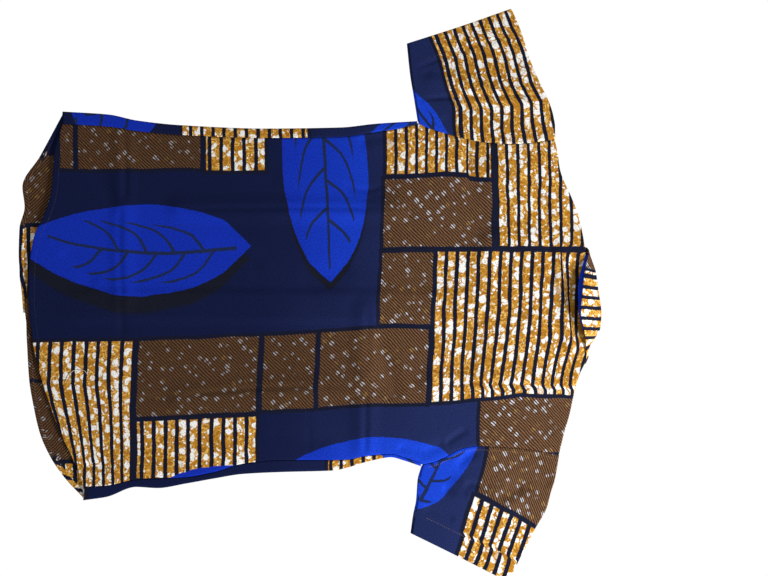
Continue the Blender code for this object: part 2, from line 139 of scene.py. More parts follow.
# Columns: across, level.  Corners of the bar of thread that shows in a button's dish.
THREAD_BAR = ((-0.3, 0.0), (0.3, 0.0), (0.3, -0.35), (-0.3, -0.35))
PLACKET_STITCHES = (-6.0, 22.0)
PLACKET_ENDS = (-362, 300)
PLACKET_POINTS = 200
BELOW_HEIGHT = -0.08

# The camera looks straight down, and one pixel covers 1.35 mm of the upper layer
PIXEL = 1.35
PHOTO_SIZE = (768, 576)
CAMERA_CENTRE = (99.2, 9.45)
CAMERA_HEIGHT = 1600.0
TOP_LEVEL = 4.0
SENSOR = 36.0

# Lights, floor and finish
# Columns: place in metres, size in metres, power.
KEY_LIGHT = ((1.6, -1.1, 0.85), 0.5, 78.0)
FILL_LIGHT = ((-1.0, 1.2, 1.5), 1.6, 7.0)
LIGHT_AIM = (0.05, 0, 0)
FLOOR_SIZE = 8
WORLD_STRENGTH = 0.31
FLOOR_GLOW = 1.02
CLOTH_ROUGHNESS = 0.75
# Columns: linear colour, roughness.
GOLD_THREAD = ((0.42, 0.25, 0.08), 0.6)
DARK_THREAD = ((0.02, 0.02, 0.05), 0.6)
PALE_THREAD = ((0.55, 0.47, 0.33), 0.7)
DARK_BUTTON = ((0.02, 0.02, 0.04), 0.3)
CLOTH_SHEEN = 0.04
GRAIN = 0.35

# Columns: along, across.  Back hem, from the wearer's right side to the left.
BACK_HEM = (
    (-307, -259), (-323, -217), (-338, -186), (-352, -148), (-364, -111), (-376, -58),
    (-381, 0), (-380, 36), (-373, 80), (-361, 105), (-350, 140), (-346, 189), (-335, 231),
)
# Columns: along, across.  Front hems, from the centre edge to the side.
LEFT_FRONT_HEM = (
    (-389, -24), (-391, 10), (-395, 55), (-394, 90), (-387, 119), (-390, 146),
    (-366, 188), (-335, 245.5),
)
RIGHT_FRONT_HEM = (
    (-385, -4), (-386, -26), (-384, -62), (-381, -113), (-375, -150), (-366, -188),
    (-351, -221), (-333, -247), (-307, -275),
)
# Columns: along, side seam on the upper layer, folded edge of the body.
LEFT_SIDE = (
    (-335, 231, 248), (-273, 227.5, 244), (-235, 221.5, 236), (-174, 216, 229.5),
    (-59, 212, 225), (40, 213.5, 226.5), (88, 220, 231.5), (121, 225, 233.7),
    (144, 230.5, 235),
)
RIGHT_SIDE = (
    (-307, -259, -277.5), (-276, -257.5, -273), (-236, -249.3, -259.5), (-207, -248, -261),
    (-169, -246, -255), (-130, -239, -248), (-92, -228, -242), (-44, -223, -239.5),
    (30, -222.8, -237.3), (52, -222, -232.7), (70, -218, -227), (88, -216, -222.6),
    (108, -214.8, -219.3), (128, -219.8, -224.3), (149, -227, -231.5),
)
# Columns: along, across.  Armhole seams, from the armpit to the shoulder.
LEFT_ARMHOLE = (
    (144, 232.7), (155, 227), (170, 222), (190, 216), (211, 210.6), (238, 206),
    (276, 204), (311, 207), (329.5, 210),
)
RIGHT_ARMHOLE = (
    (149, -229.2), (165, -226), (182, -218.7), (204, -207.5), (226, -204), (249, -205),
    (292, -208), (335.5, -216),
)
# Columns: along, across.  Folded shoulder edges, from the armhole to the neck.
LEFT_SHOULDER = (
    (330, 210), (334, 191), (337, 170), (353, 131), (361, 110), (366, 90), (371.5, 57),
)
RIGHT_SHOULDER = (
    (335.5, -216), (342, -189), (350, -161), (356, -133), (359.5, -118), (364, -105),
    (369, -95), (372.5, -86.5),
)
# Columns: along, across.  Back neckline, from the wearer's right to the left.
BACK_NECK = (
    (372.5, -86.5), (372, -66), (368.5, -50), (364, -34), (361, -12), (360.5, 8),
    (362.5, 23), (367, 40), (371.5, 57),
)
# Columns: distance across from the centre of the body, along.  Half of the front neckline.
FRONT_NECK = ((0, 297), (23, 303), (49, 322), (63, 343), (71, 361))

# Columns: along, across.  Sleeve edges, from the body to the cuff.
LEFT_SLEEVE_UNDERARM = ((144.6, 235), (139.5, 267), (134.5, 297), (130, 339.5))
LEFT_SLEEVE_SHOULDER = (
    (330.5, 210.5), (330.5, 227), (328, 243), (321, 264), (313, 280), (296, 320),
    (285, 355), (271.5, 387),
)
RIGHT_SLEEVE_UNDERARM = ((149.6, -231.5), (144.5, -250), (142.5, -277), (138.5, -297), (135, -321.5))
RIGHT_SLEEVE_SHOULDER = (
    (336, -216.5), (330, -250), (325, -266), (319, -288), (304, -315), (292, -338),
    (281, -360), (267.5, -388),
)
# Columns: along, across.  Cuffs, from the underarm to the shoulder side.
LEFT_CUFF = ((130, 339.5), (200, 362), (271.5, 387))
RIGHT_CUFF = ((135, -321.5), (195, -351), (250, -379), (267.5, -388))

# Columns: start along, start across, end along, end across, half width, height.
# The largest folds, as on the solids.
FOLDS = (
    (-176, 116, 114, 116, 26, 2.6),
    (-176, -138, 60, -124, 26, 2.4),
    (161, -120, 350, -122, 24, 2.8),
    (-253, 205, -253, -7, 24, 2.2),
    (75, -20, 72, -205, 26, 2.6),
    (337, 62, 353, -68, 18, 2.0),
    (236, 168, 240, 62, 24, 2.2),
    (205, -262, 268, -284, 26, 3.2),
    (168, 292, 290, 262, 24, 2.4),
)
# Columns: start along, start across, end along, end across, bow, half width, height.
# Pressed creases and small wrinkles of the upper layer; a trough has a height below zero.
CREASES = (
    (-190, 115, 118, 116, 2, 3.2, -0.8), (-60, 118, 120, 112, -3, 9, 0.5),
    (-236, -140, -170, -136, 0, 3.5, -0.6), (-182, -137, 12, -124, 4, 3.2, -1.0),
    (10, -122, 62, -126, 2, 5, -0.8), (-253, 228, -251, 120, 2, 4, -1.0),
    (-256, 130, -252, -20, -3, 3.5, -0.7), (-258, 0, -254, -60, 1, 4, -0.5),
    (76, -12, 74, -110, 2, 4, -0.6), (74, -120, 73, -222, 1, 3.5, -0.9),
    (-4, -150, -2, -222, 1, 3, -0.2), (41, 154, 101, 150, -10, 2.4, -0.7),
    (101, 150, 118, 140, 0, 2.4, -0.5), (160, -118, 352, -127, 3, 4, -0.9),
    (-322, -233, -272, -236, 3, 3.0, -1.3), (-306, -226, -262, -230, -2, 2.6, -0.7),
    (334, 66, 357, -72, -3, 2.2, -0.5),
    (350, 52, 348, -30, 4, 2.6, -0.25), (352, -20, 359, -66, -3, 2.2, -0.3),
    (318, 70, 330, 20, 3, 7, -0.7), (213, 214, 213, 160, 0, 2.6, -0.8),
    (214, 162, 236, 70, 9, 14, -1.2), (84, -56, 116, -146, 4, 9, -1.0),
    (50, -52, 82, -118, -4, 8, 0.6), (180, -204, 214, -181, 2, 4, -0.8),
    (200, -222, 232, -206, 0, 5, -0.5), (-150, 60, -60, 30, 10, 12, -0.5),
    (-20, 20, 60, 44, -8, 14, -0.6), (-120, -60, -20, -100, 8, 11, -0.5),
    (-340, 60, -290, 10, 6, 9, -0.6), (-330, -60, -280, -120, -6, 10, -0.6),
    (-300, 175, -262, 110, 5, 8, -0.5), (120, 60, 200, 20, 8, 12, -0.5),
    (240, 20, 300, -30, -7, 10, -0.5), (150, -30, 230, -90, 9, 12, -0.6),
    (262, -140, 330, -190, 6, 9, -0.6), (296, 170, 330, 100, -6, 8, -0.6),
    (-110, 190, -40, 150, 6, 9, -0.5), (-60, -180, 30, -200, -6, 9, -0.5),
    (-205, -176, -120, -205, 5, 8, -0.5), (60, 205, 130, 214, 4, 6, -0.6),
    (140, -214, 182, -196, -4, 6, -0.7), (116, -206, 148, -214, 3, 4, -0.7),
    (140, 264, 320, 270, 2, 2.8, -1.0),
    (136, 303, 284, 355, 3, 2.4, -0.4),
    (138, -294, 279, -356, -3, 2.4, -0.4),
    (150, 300, 190, 292, 3, 5, -0.6), (170, 330, 196, 300, 3, 6, -0.5),
    (250, 330, 286, 300, 4, 7, -0.6), (176, 240, 200, 214, 2, 5, -0.6),
    (236, 240, 262, 208, 3, 6, -0.5), (206, -256, 246, -262, 3, 4, -0.9),
    (250, -272, 288, -258, -4, 6, -1.1), (262, -256, 300, -262, 3, 6, -0.9),
    (176, -262, 214, -270, 3, 5, -0.7), (150, -288, 196, -306, 3, 5, -0.6),
    (196, -236, 226, -212, 3, 5, -0.6), (296, -230, 322, -262, 4, 7, -0.6),
    (240, -330, 266, -360, 3, 6, -0.5),
)
CREASE_STRENGTH = 2.0
CREASE_SPREAD = 2.2
CREASE_TAPER = 0.35
CREASE_FADE = 0.2
TUCK_FADE = 0.15
# Columns: along, across, reach, height.  Broad unevenness of the upper layer.
SWELLS = (
    (-330, 120, 46, 0.7), (-300, -60, 60, 0.6), (-210, 40, 60, 0.5), (-120, -190, 44, 0.7),
    (-80, 170, 46, 0.6), (0, 60, 60, 0.6), (20, -60, 50, 0.6), (130, 100, 50, 0.7),
    (160, -60, 56, 0.6), (110, -180, 40, 0.8), (260, 150, 50, 0.7), (290, -60, 50, 0.7),
    (250, -170, 40, 0.7), (170, 310, 30, 0.7), (250, 300, 34, 0.7), (230, -240, 34, 0.7),
    (180, -330, 26, 0.6), (270, -320, 30, 0.7),
)

# Columns: along, across.  A loose thread on the back.
LOOSE_THREAD = ((-331, -118), (-325, -106), (-316, -101), (-306, -102), (-301, -108))
THREAD_RADIUS = 0.35
THREAD_POINTS = 40
THREAD_SIDES = 6

# The collar round the neck.  Station 0 to 1 is the wearer's left front, 1 to 2 the back
# and 2 to 3 the right front.  Side tells where the fall lies from the stand, in degrees.
# Columns: station, roll along, roll across, roll level, roll radius, side,
# edge along, edge across, edge level.
COLLAR = (
    (0.00, 321, -14.0, 1.6, 1.0, -90, 262, -3, 0.6),
    (0.30, 328, 6, 1.6, 1.0, -90, 284, 32, 0.6),
    (0.60, 346, 24, 1.6, 1.0, -90, 318, 58, 0.6),
    (0.80, 361, 35, 1.6, 1.0, -90, 344, 66, 0.6),
    (0.93, 372, 43, 1.7, 1.0, -80, 363, 67, 0.65),
    (0.965, 376, 47, 2.2, 1.1, -50, 374, 64, 0.9),
    (1.00, 378.5, 49, 3.0, 1.3, 10, 375.5, 61, 4.5),
    (1.035, 380, 46, 3.0, 1.5, 50, 374.5, 55, 7.5),
    (1.10, 382.5, 40.5, 3.0, 1.8, 80, 372, 46, 9.5),
    (1.20, 385.5, 31, 3.0, 2.0, 90, 369, 34, 13),
    (1.40, 389, 6, 2.9, 2.2, 90, 365, 8, 20),
    (1.60, 393, -25, 2.9, 2.2, 90, 362, -24, 23),
    (1.75, 391, -47, 2.9, 2.1, 90, 367, -47, 18),
    (1.80, 385.5, -56, 2.9, 1.9, 90, 369, -56, 15),
    (1.90, 377, -70, 3.0, 1.2, 80, 371.5, -73, 8.5),
    (1.965, 375, -80, 3.0, 1.1, 50, 372, -86, 6.5),
    (2.00, 375, -83, 3.0, 1.1, 10, 372.5, -90, 4.2),
    (2.035, 374, -80, 2.2, 1.0, -50, 371.5, -94, 0.9),
    (2.07, 371.5, -74.5, 1.7, 1.0, -80, 363, -97.5, 0.65),
    (2.20, 361, -65, 1.6, 1.0, -90, 344, -96, 0.6),
    (2.40, 346, -54, 1.6, 1.0, -90, 318, -88, 0.6),
    (2.70, 328, -36, 1.6, 1.0, -90, 284, -62, 0.6),
    (3.00, 321, -16.0, 1.6, 1.0, -90, 262, -27, 0.6),
)

# The print.  Places are in the cut of each panel, in millimetres along and across.
# Colours are linear.
# Painted light: NAVY and ROYAL are the navy ground and the leaves' blue as shaded towards the hem; their
# lit copies below stand for the brighter light towards the neck.
NAVY = (0.0058, 0.0096, 0.0465)
NAVY_PAINTED_LIT = (0.0135, 0.0225, 0.0950)
LINE = (0.0075, 0.0092, 0.0230)
SHADE = (0.0085, 0.0100, 0.0200)
ROYAL = (0.006, 0.027, 0.40)
ROYAL_PAINTED_LIT = (0.009, 0.056, 0.60)
# Painted light: the stand's royal blue, painted brighter than its dye to offset the shade it lies in under
# the collar's fall.
ROYAL_STAND_PAINTED_LIT = (0.020, 0.085, 1.00)
VEIN = (0.012, 0.022, 0.075)
GOLD_LINE = (0.40, 0.235, 0.085)
PALE = (0.60, 0.60, 0.66)
HATCH_PITCH = 4.6
FLECK_SPACING = 17.0
PATCH_SIZE = 10.4
SPOT_SIZE = 4.6
CRACK_SIZE = 5.6
OCHRE = (0.50, 0.225, 0.022)
OCHRE_DEEP = (0.37, 0.15, 0.012)
YELLOW = (0.82, 0.52, 0.14)
CREAM = (0.88, 0.87, 0.83)
UMBER = (0.033, 0.015, 0.006)
TAN = (0.195, 0.102, 0.054)
LINE_WIDTH = 5.0
LINE_SOFTNESS = 0.6
LINE_SHARE = 0.95

# How the print is drawn.  Noise scales are for a millimetre, and a pair of numbers tells where
# a smooth step starts and ends.
# Millimetres in a metre
MILLIMETRES = 1000.0
# Farther off than any block
FAR = 1000.0
# Columns: noise scale, reach.  Small and broad unevenness of the printing.
PRINT_WARPS = ((0.16, 1.8), (0.018, 5.0))
BLOCK_SHARPNESS = 1.2
BLOCK_MARGIN = 0.45
# Painted light: a step along the cut paints the navy, the leaves' blue and the hatch darker towards the hem
# and lighter towards the neck, as the lamp falls; noise of this scale and reach moves where the step lies.
PAINTED_LIGHT_WOBBLE_SCALE = 0.012
PAINTED_LIGHT_WOBBLE_REACH = 160.0
PAINTED_LIGHT_STEP = (-20.0, 330.0)
HATCH_LIGHT = (-0.6, 0.9)
# Share of umber painted into the hatch as shade towards the hem.
HATCH_PAINTED_SHADE = 0.45
FLECK_REACH = 0.14
FLECK_SPREAD = 0.16
FLECK_EDGE = (0.05, -0.08)
FLECK_PICK = (0.40, 0.56)
WARM_EDGE = (0.34, 0.16)
WARM_PICK = (0.55, 1.0)
GOLD_EDGE = (-0.4, 0.6)
BAND_SHUFFLE = 37.3
OCHRE_SCALE = 0.16
OCHRE_STEP = (0.40, 0.60)
CRACK_GAP_SCALE = 0.11
CRACKLE_EDGE = (0.15, 0.05)
CRACKLE_GAP = (0.44, 0.54)
CRACKLE_SHARE = 0.8
# Columns: size of the cells, share of them left bare, least radius, some of them yellow.
PATCHES = ((SPOT_SIZE, 0.62, 0.20, True), (PATCH_SIZE, 0.52, 0.30, False))
PATCH_WARP_SCALE = 0.10
PATCH_WARP = 8.0
PATCH_SPREAD = 0.20
PATCH_EDGE = (0.05, -0.04)
PATCH_PICK = 0.02
YELLOW_STEP = (0.40, 0.44)
PATCH_CRACK_EDGE = (0.06, 0.025)
PATCH_CRACK_GAP = (0.54, 0.46)
LEAF_END = 0.001
LEAF_SOFTNESS = 0.6
SHADOW_SOFTNESS = 3.0
# Columns: growth from base to tip, half width at the base.  The rib is thickest at the tip, or
# at the base where the veins run to the tip.
BASE_RIB = (1.1, 1.6)
TIP_RIB = (-1.3, 2.7)
RIB_START = 0.14
RIB_END = 0.94
LINE_EDGE = (0.5, -0.5)
VEIN_REACH = 0.66
VEIN_SWEEP = 42.0
VEIN_WIDTH = 2.1
VEIN_TAPER = 0.7
VEIN_LIMIT = 0.72
VEIN_END = (0.8, -0.8)
WEAVE_SCALE = 1.1
WEAVE_STRENGTH = 0.25
WEAVE_DEPTH = 0.0001
GRAIN_SCALE = 0.55
GRAIN_STEP = (0.58, 0.34)

# Columns: kind, low along, high along, low across, high across.  A banded block also has its
# first gold edge, the pitch of its gold bands and their share of the pitch.
BACK_BLOCKS = (
    ("hatch", -314, -149, 171, 270), ("hatch", -338, -321, 171, 270),
    ("bands", -141, -62, 169, 270, -134, 15.8, 0.69), ("bands", 103, 243, 163, 270, 103, 13.8, 0.7),
    ("hatch", 101, 244, 65, 156), ("bands", 250, 420, 66, 270, 253.5, 14.2, 0.70),
    ("hatch", 100, 169, -39, 57), ("bands", 175, 420, -144, 58, 175, 14.5, 0.65),
    ("hatch", 22, 167, -146, -46), ("hatch", -54, 15, -146, -46),
    ("hatch", -223, -62, -148, -46), ("bands", -410, -232, -242, -46, -357, 16.3, 0.68),
    ("bands", -222, -62, -231, -155, -213, 15.7, 0.66), ("hatch", 242, 420, -221, -149),
)
# Columns: base along, base across, tip along, tip across, half width, base power, tip power,
# rib bow, rib swing, vein pitch, vein lean, vein phase, stagger of the two sides, first and
# last vein, drop of the leaf's shadow.  Veins with a lean below zero run to the tip.
BACK_LEAVES = (
    (-398, 68, -78, 66, 58, 0.76, 0.62, -12, 27, 38, 0.62, 0.40, -0.65, 3, 7, 17),
    (10, 317, 31, 18, 58, 0.60, 0.66, 0, 0, 54, -0.90, 0.82, -0.30, 0, 4, 12),
    (-26, -238, 214, -232, 43, 0.55, 0.55, 0, 0, 60, -0.60, 0.30, 0.40, 50, 50, 0),
    (-215, -262, -40, -238, 30, 0.50, 0.50, 0, 0, 60, -0.60, 0.30, 0.40, 50, 50, 0),
)
# Columns: across, shift along.  The print leans towards the hem further down the panel.
BACK_LEAN = ((-263, -12.8), (-142, -11.5), (-117, -10.8), (-47, -7.4), (61, -2.7), (155, 0), (263, 0))
# Columns: along, drop across of the lower half of the print.
BACK_DROP = (
    (-400, 17.8), (-230, 16.2), (-68, 9.5), (14, 5.4), (75, 0), (161, 0), (229, -5.4),
    (283, -9.5), (400, -8.1),
)
BACK_DROP_FADE = (40, -50)
# Beside the shoulder the bands slant, and towards the neck they lie closer.
SHOULDER_SLANT = 0.038
SHOULDER_LEVEL = 178
SLANT_ALONG = (225, 262)
SLANT_ACROSS = (58, 68)
NECK_SQUEEZE = 0.18
SQUEEZE_START = 305
SQUEEZE_LENGTH = 60
SQUEEZE_FADE = (66, 54)
# Near the upper armhole the blocks' edges bow, and step where a crease crosses them.
ARCH = 4.0
ARCH_STEP = (212, 215)
ARCH_TOP = 184
ARCH_REACH = 35
ARCH_FADE = (120, 160)
# Columns: across, shift along.  Beside the neck, over the kink under it and at the lower hem
# corner the print is pushed out of line.
KINK_PUSH = ((-170, -2), (-128, -3), (-121, -7), (-60, -1), (-20, 0))
KINK_FADE = (180, 260)
CORNER_START = -120
CORNER_WIDTH = 110
CORNER_EDGE = -245
CORNER_LENGTH = 75
CORNER_MOST = 1.3
CORNER_PULL = 23.0
NECK_PUSH = ((-150, 0), (-110, 0), (-75, 6), (-40, 4), (0, 1), (40, 0), (70, 0))
NECK_PUSH_FADE = (300, 350)
# Columns: start along, start across, end along, end across, cloth taken up, width, reach.
TUCKS = (
    (335, 75, 357, -76, 8.0, 3.0, 34),
    (213, 220, 213, 158, 3.0, 2.0, 20), (84, -56, 116, -146, 3.0, 5, 30),
    (161, -118, 352, -126, 4.0, 3.0, 24), (-190, -137, 60, -125, 3.0, 2.5, 20),
)

LEFT_FRONT_BLOCKS = (
    ("bands", -173, -5, 150, 300, -160, 15.2, 0.69), ("hatch", -420, -366, 193, 300),
    ("hatch", -420, -322, 96, 188), ("bands", -420, -250, -40, 90, -394, 15.6, 0.66),
    ("hatch", -240, -60, -40, 60), ("bands", -50, 110, -40, 140, -48, 14.5, 0.66),
    ("hatch", 118, 260, 40, 140), ("bands", 118, 380, 148, 215, 120, 14.5, 0.66),
)
LEFT_FRONT_LEAVES = (
    (-320, 256, -202, 222, 36, 0.30, 0.35, 0, 0, 36, 0.30, 0.0, 0.40, 0, 9, 0),
    (-300, 126, -70, 118, 52, 0.70, 0.65, -6, 0, 42, 0.60, 0.0, 0.40, 1, 4, 14),
    (76, 262, 200, 222, 24, 0.50, 0.60, 0, 0, 40, -0.60, 0.0, 0.40, 0, 9, 0),
)
RIGHT_FRONT_BLOCKS = (
    ("hatch", -420, -330, -114, 20), ("hatch", -420, -322, -222, -119),
    ("bands", -420, -304, -300, -228, -394, 15.6, 0.66), ("bands", 24, 107, -300, -190, 30, 14.4, 0.68),
    ("bands", -318, -180, -114, 20, -314, 15.6, 0.66), ("hatch", -172, 10, -104, 20),
    ("hatch", 18, 160, -104, 20), ("bands", 168, 380, -150, 20, 170, 14.5, 0.66),
)
RIGHT_FRONT_LEAVES = (
    (-300, -176, -60, -168, 54, 0.70, 0.65, 6, 0, 42, 0.60, 0.0, 0.40, 1, 4, 14),
    (92, -240, 210, -214, 24, 0.50, 0.60, 0, 0, 42, 0.60, 0.0, 0.40, 50, 50, 0),
)
LEFT_SLEEVE_BLOCKS = (
    ("bands", 194.6, 197.8, 190, 420, 190, 20, 0.99), ("bands", 203.0, 470, 190, 420, 203.6, 13.4, 0.65),
)
LEFT_SLEEVE_LEAVES = ((118, 282, 186, 204, 19, 0.50, 0.60, 0, 0, 60, 0.60, 0.0, 0.40, 0, 9, 0),)
RIGHT_SLEEVE_BLOCKS = (
    ("hatch", 223, 470, -277, -150), ("bands", 219, 470, -420, -284, 220, 14.9, 0.6),
)
RIGHT_SLEEVE_LEAVES = ((188, -77, 143, -326, 48, 0.50, 0.60, 0, 0, 31, 0.30, 0.45, 0.40, 0, 9, 0),)
# Columns: across, shift along.  Lean of the print on the sleeves.
LEFT_SLEEVE_LEAN = (
    (190, 15), (240, 5), (264, 3), (273, -2), (289, -10), (327, -20.5), (358, -34), (400, -50),
)
# The bands step at the sleeves' hem lines.  Columns: slope of the line, start and end of the step.
LEFT_HEM_LINE = (0.36, 256, 260)
RIGHT_HEM_LINE = (0.45, 232, 236)
LEFT_HEM_STEP = -0.8
RIGHT_HEM_STEP = 4.5
RIGHT_SLEEVE_LEAN = ((-400, -43), (-284, 0), (-150, 50))
RIGHT_SLEEVE_DROP = ((100, -51), (225, 0), (380, 64))

# Along is the distance round the collar from its left front end, across is the leaf's width.
FALL_BLOCKS = (
    ("hatch", 0, 105, -10, 80), ("bands", 108.5, 111.5, -10, 80, 100, 20, 0.99),
    ("bands", 116.5, 420, -10, 80, 117.5, 13.9, 0.66),
)


def gentle_slopes(rows, knots):
    """Slopes for a smooth curve that never swings past the rows of its table."""
    steps = np.diff(rows, axis=0) / np.diff(knots)[:, None]
    slopes = np.vstack((steps[:1], steps))
    before, after = steps[:-1], steps[1:]
    same_way = before * after > 0
    total = np.where(same_way, before + after, 1.0)
    slopes[1:-1] = np.where(same_way, 2 * before * after / total, 0.0)
    return slopes


def smooth_rows(table, stations):
    """Rows of a table at new stations of its first column, along a smooth curve."""
    rows = np.array(table, float)
    knots = rows[:, 0]
    slopes = gentle_slopes(rows, knots)
    stations = np.clip(np.array(stations, float), knots[0], knots[-1])
    start = np.clip(np.searchsorted(knots, stations, side="right") - 1, 0, len(knots) - 2)
    width = knots[start + 1] - knots[start]
    part = ((stations - knots[start]) / width)[:, None]
    width = width[:, None]
    result = rows[start] * (1 + 2 * part) * (1 - part) ** 2
    result += slopes[start] * width * part * (1 - part) ** 2
    result += rows[start + 1] * part ** 2 * (3 - 2 * part)
    result += slopes[start + 1] * width * part ** 2 * (part - 1)
    return result


def running_length(points):
    """Distance along a line of points at each of them."""
    return np.concatenate(([0.0], np.cumsum(np.linalg.norm(np.diff(points, axis=0), axis=1))))


def curve_points(points, fractions):
    """Points at fractions of the length of a smooth plan curve through the given points."""
    points = np.array(points, float)
    knots = running_length(points)
    stations = np.linspace(0, knots[-1], CURVE_POINTS)
    dense = smooth_rows(np.column_stack((knots, points)), stations)[:, 1:]
    lengths = running_length(dense)
    wanted = np.array(fractions, float) * lengths[-1]
    return np.column_stack([np.interp(wanted, lengths, dense[:, axis]) for axis in (0, 1)])


def unit(vectors):
    """The same vectors, one long."""
    return vectors / np.maximum(np.linalg.norm(vectors, axis=-1, keepdims=True), 1e-9)


def rise(value, start, end):
    """Smooth step from 0 at start to 1 at end."""
    part = np.clip((np.asarray(value, float) - start) / (end - start), 0.0, 1.0)
    return part * part * (3 - 2 * part)


def faded(share, part):
    """1 along a line, with a smooth fall to 0 over a part of it at both ends."""
    return rise(share, 0, part) * (1 - rise(share, 1 - part, 1))


def looked_up(table, values):
    """Second column of a table, between the rows, at values of its first column."""
    rows = np.array(table, float)
    return np.interp(values, rows[:, 0], rows[:, 1])


def lift(place):
    """How far the buttons and the collar's fall raise the layers over the surface."""
    off_centre = np.abs(place[..., 1] - CENTRE)
    over_buttons = (1 - rise(off_centre, *BAND_HALF_WIDTH)) * rise(place[..., 0], *BAND_START)
    over_collar = (1 - rise(off_centre, *COLLAR_HALF_WIDTH)) * rise(place[..., 0], *COLLAR_START)
    return LIFT * np.maximum(over_buttons, over_collar)


def line_distance(place, start, end, bow=0.0):
    """Share along a bowed line, and the signed distance from it."""
    run = np.array(end, float) - np.array(start, float)
    length = np.linalg.norm(run)
    run /= length
    offset = place - np.array(start, float)
    share = (offset @ run) / length
    inside = np.clip(share, 0.0, 1.0)
    side = offset @ np.array((-run[1], run[0])) - bow * 4 * inside * (1 - inside)
    past = (share - inside) * length
    return inside, np.where(side < 0, -1.0, 1.0) * np.hypot(side, past)


def fold_height(place):
    """Height of the largest folds of the upper layer."""
    height = np.zeros(place.shape[:-1])
    for start_x, start_y, end_x, end_y, half_width, top in FOLDS:
        _, distance = line_distance(place, (start_x, start_y), (end_x, end_y))
        share = np.clip(np.abs(distance) / half_width, 0, 1)
        height = np.maximum(height, top * np.cos(np.pi / 2 * share) ** 2)
    return height


def crease_height(place):
    """Height of the pressed creases, wrinkles and broad swells of the upper layer."""
    height = np.zeros(place.shape[:-1])
    for start_x, start_y, end_x, end_y, bow, half_width, top in CREASES:
        share, distance = line_distance(place, (start_x, start_y), (end_x, end_y), bow)
        near = np.clip(np.abs(distance) / (CREASE_SPREAD * half_width), 0, 1)
        shape = (1 - near) ** 2 * (1 + 2 * near) * (1 - CREASE_TAPER * near)
        height += CREASE_STRENGTH * top * faded(share, CREASE_FADE) * shape
    for x, y, reach, top in SWELLS:
        distance = np.hypot(place[..., 0] - x, place[..., 1] - y)
        height += top * np.exp(-((distance / reach) ** 2))
    return height


def lower_height(place):
    """Mid level of the layer that lies on the surface."""
    return LOWER_LEVEL + lift(place)


def upper_height(place):
    """Mid level of the upper layer."""
    return UPPER_LEVEL + lift(place) + fold_height(place) + crease_height(place)


def edge_turn(points, outward, low, high):
    """Half circles from the lower to the upper layer, their outer face at the given edge."""
    radius = ((high - low) / 2)[:, None]
    centre = points - outward * (radius + HALF_SHELL)
    turns = []
    for angle in np.linspace(0, math.pi, TURN_STEPS + 1):
        plan = centre + outward * radius * math.sin(angle)
        level = low[:, None] + radius * (1 - math.cos(angle))
        turns.append(np.column_stack((plan, level)))
    return np.stack(turns, axis=1)


def turn_depth(points):
    """How far the flat layers stay inside a folded edge."""
    return (upper_height(points) - lower_height(points)) / 2 + HALF_SHELL


def coons(low_side, high_side, start, end, down, over):
    """Plan grid between four edge curves that meet at their corners, rows from start to end."""
    down = np.asarray(down)[:, None, None]
    over = np.asarray(over)[None, :, None]
    sides = (1 - over) * low_side[:, None] + over * high_side[:, None]
    ends = (1 - down) * start[None] + down * end[None]
    corners = (1 - down) * ((1 - over) * start[0] + over * start[-1])
    corners = corners + down * ((1 - over) * end[0] + over * end[-1])
    return sides + ends - corners


def raised(plan, level):
    """Plan points with their levels."""
    return np.concatenate((plan, np.asarray(level)[..., None]), axis=-1)


def side_curves(side, armhole):
    """Side seam, folded edge and armhole of one side, at the stations that panels share."""
    rows = smooth_rows(side, np.linspace(side[0][0], side[-1][0], BODY_ROWS + 1))
    return rows[:, (0, 1)], rows[:, (0, 2)], curve_points(armhole, np.linspace(0, 1, CHEST_ROWS + 1))


def shares_along(points):
    """Share of the whole run along X at each point of an edge."""
    return (points[:, 0] - points[0, 0]) / (points[-1, 0] - points[0, 0])


def shoulder_edge(points):
    """Points of a folded shoulder edge, and their outward normals."""
    line = curve_points(points, np.linspace(0, 1, SHOULDER_COLUMNS + 1))
    run = unit(np.gradient(line, axis=0))
    outward = np.column_stack((run[:, 1], -run[:, 0]))
    if outward[0, 0] < 0:
        outward = -outward
    return line, outward


def tuck_shift(place):
    """How far the print moves where a fold takes up some of the cloth."""
    shift = np.zeros(place.shape)
    for start_x, start_y, end_x, end_y, taken, width, reach in TUCKS:
        share, distance = line_distance(place, (start_x, start_y), (end_x, end_y))
        run = unit(np.array((end_x - start_x, end_y - start_y), float))
        across = np.array((-run[1], run[0]))
        near = rise(np.abs(distance), 0, width) * (1 - rise(np.abs(distance), width, reach))
        shift += (np.sign(distance) * near * faded(share, TUCK_FADE) * taken / 2)[..., None] * across
    return shift


def back_print(place):
    """Place in the print for each place in the back's cut."""
    x, y = place[..., 0], place[..., 1]
    slant = SHOULDER_SLANT * (y - SHOULDER_LEVEL) * rise(x, *SLANT_ALONG) * rise(y, *SLANT_ACROSS)
    squeeze = NECK_SQUEEZE * np.clip(x - SQUEEZE_START, 0, SQUEEZE_LENGTH) * rise(y, *SQUEEZE_FADE)
    push = looked_up(NECK_PUSH, y) * rise(x, *NECK_PUSH_FADE)
    kink = looked_up(KINK_PUSH, y) * rise(x, *KINK_FADE)
    corner = np.clip((CORNER_START - y) / CORNER_WIDTH, 0, 1)
    corner = CORNER_PULL * corner * np.clip((CORNER_EDGE - x) / CORNER_LENGTH, 0, CORNER_MOST)
    along = x - looked_up(BACK_LEAN, y) + slant + squeeze - push - kink - corner
    arch = rise(x, *ARCH_STEP) - np.exp(-(((x - ARCH_TOP) / ARCH_REACH) ** 2))
    across = y + looked_up(BACK_DROP, x) * rise(y, *BACK_DROP_FADE) + ARCH * arch * rise(y, *ARCH_FADE)
    return np.stack((along, across), axis=-1) + tuck_shift(place)


def left_sleeve_print(place):
    """Place in the print for each place in the left sleeve's cut."""
    x, y = place[..., 0], place[..., 1]
    slope, start, end = LEFT_HEM_LINE
    step = LEFT_HEM_STEP * rise(y - slope * x, start, end)
    return np.stack((x - looked_up(LEFT_SLEEVE_LEAN, y) - step, y), axis=-1)


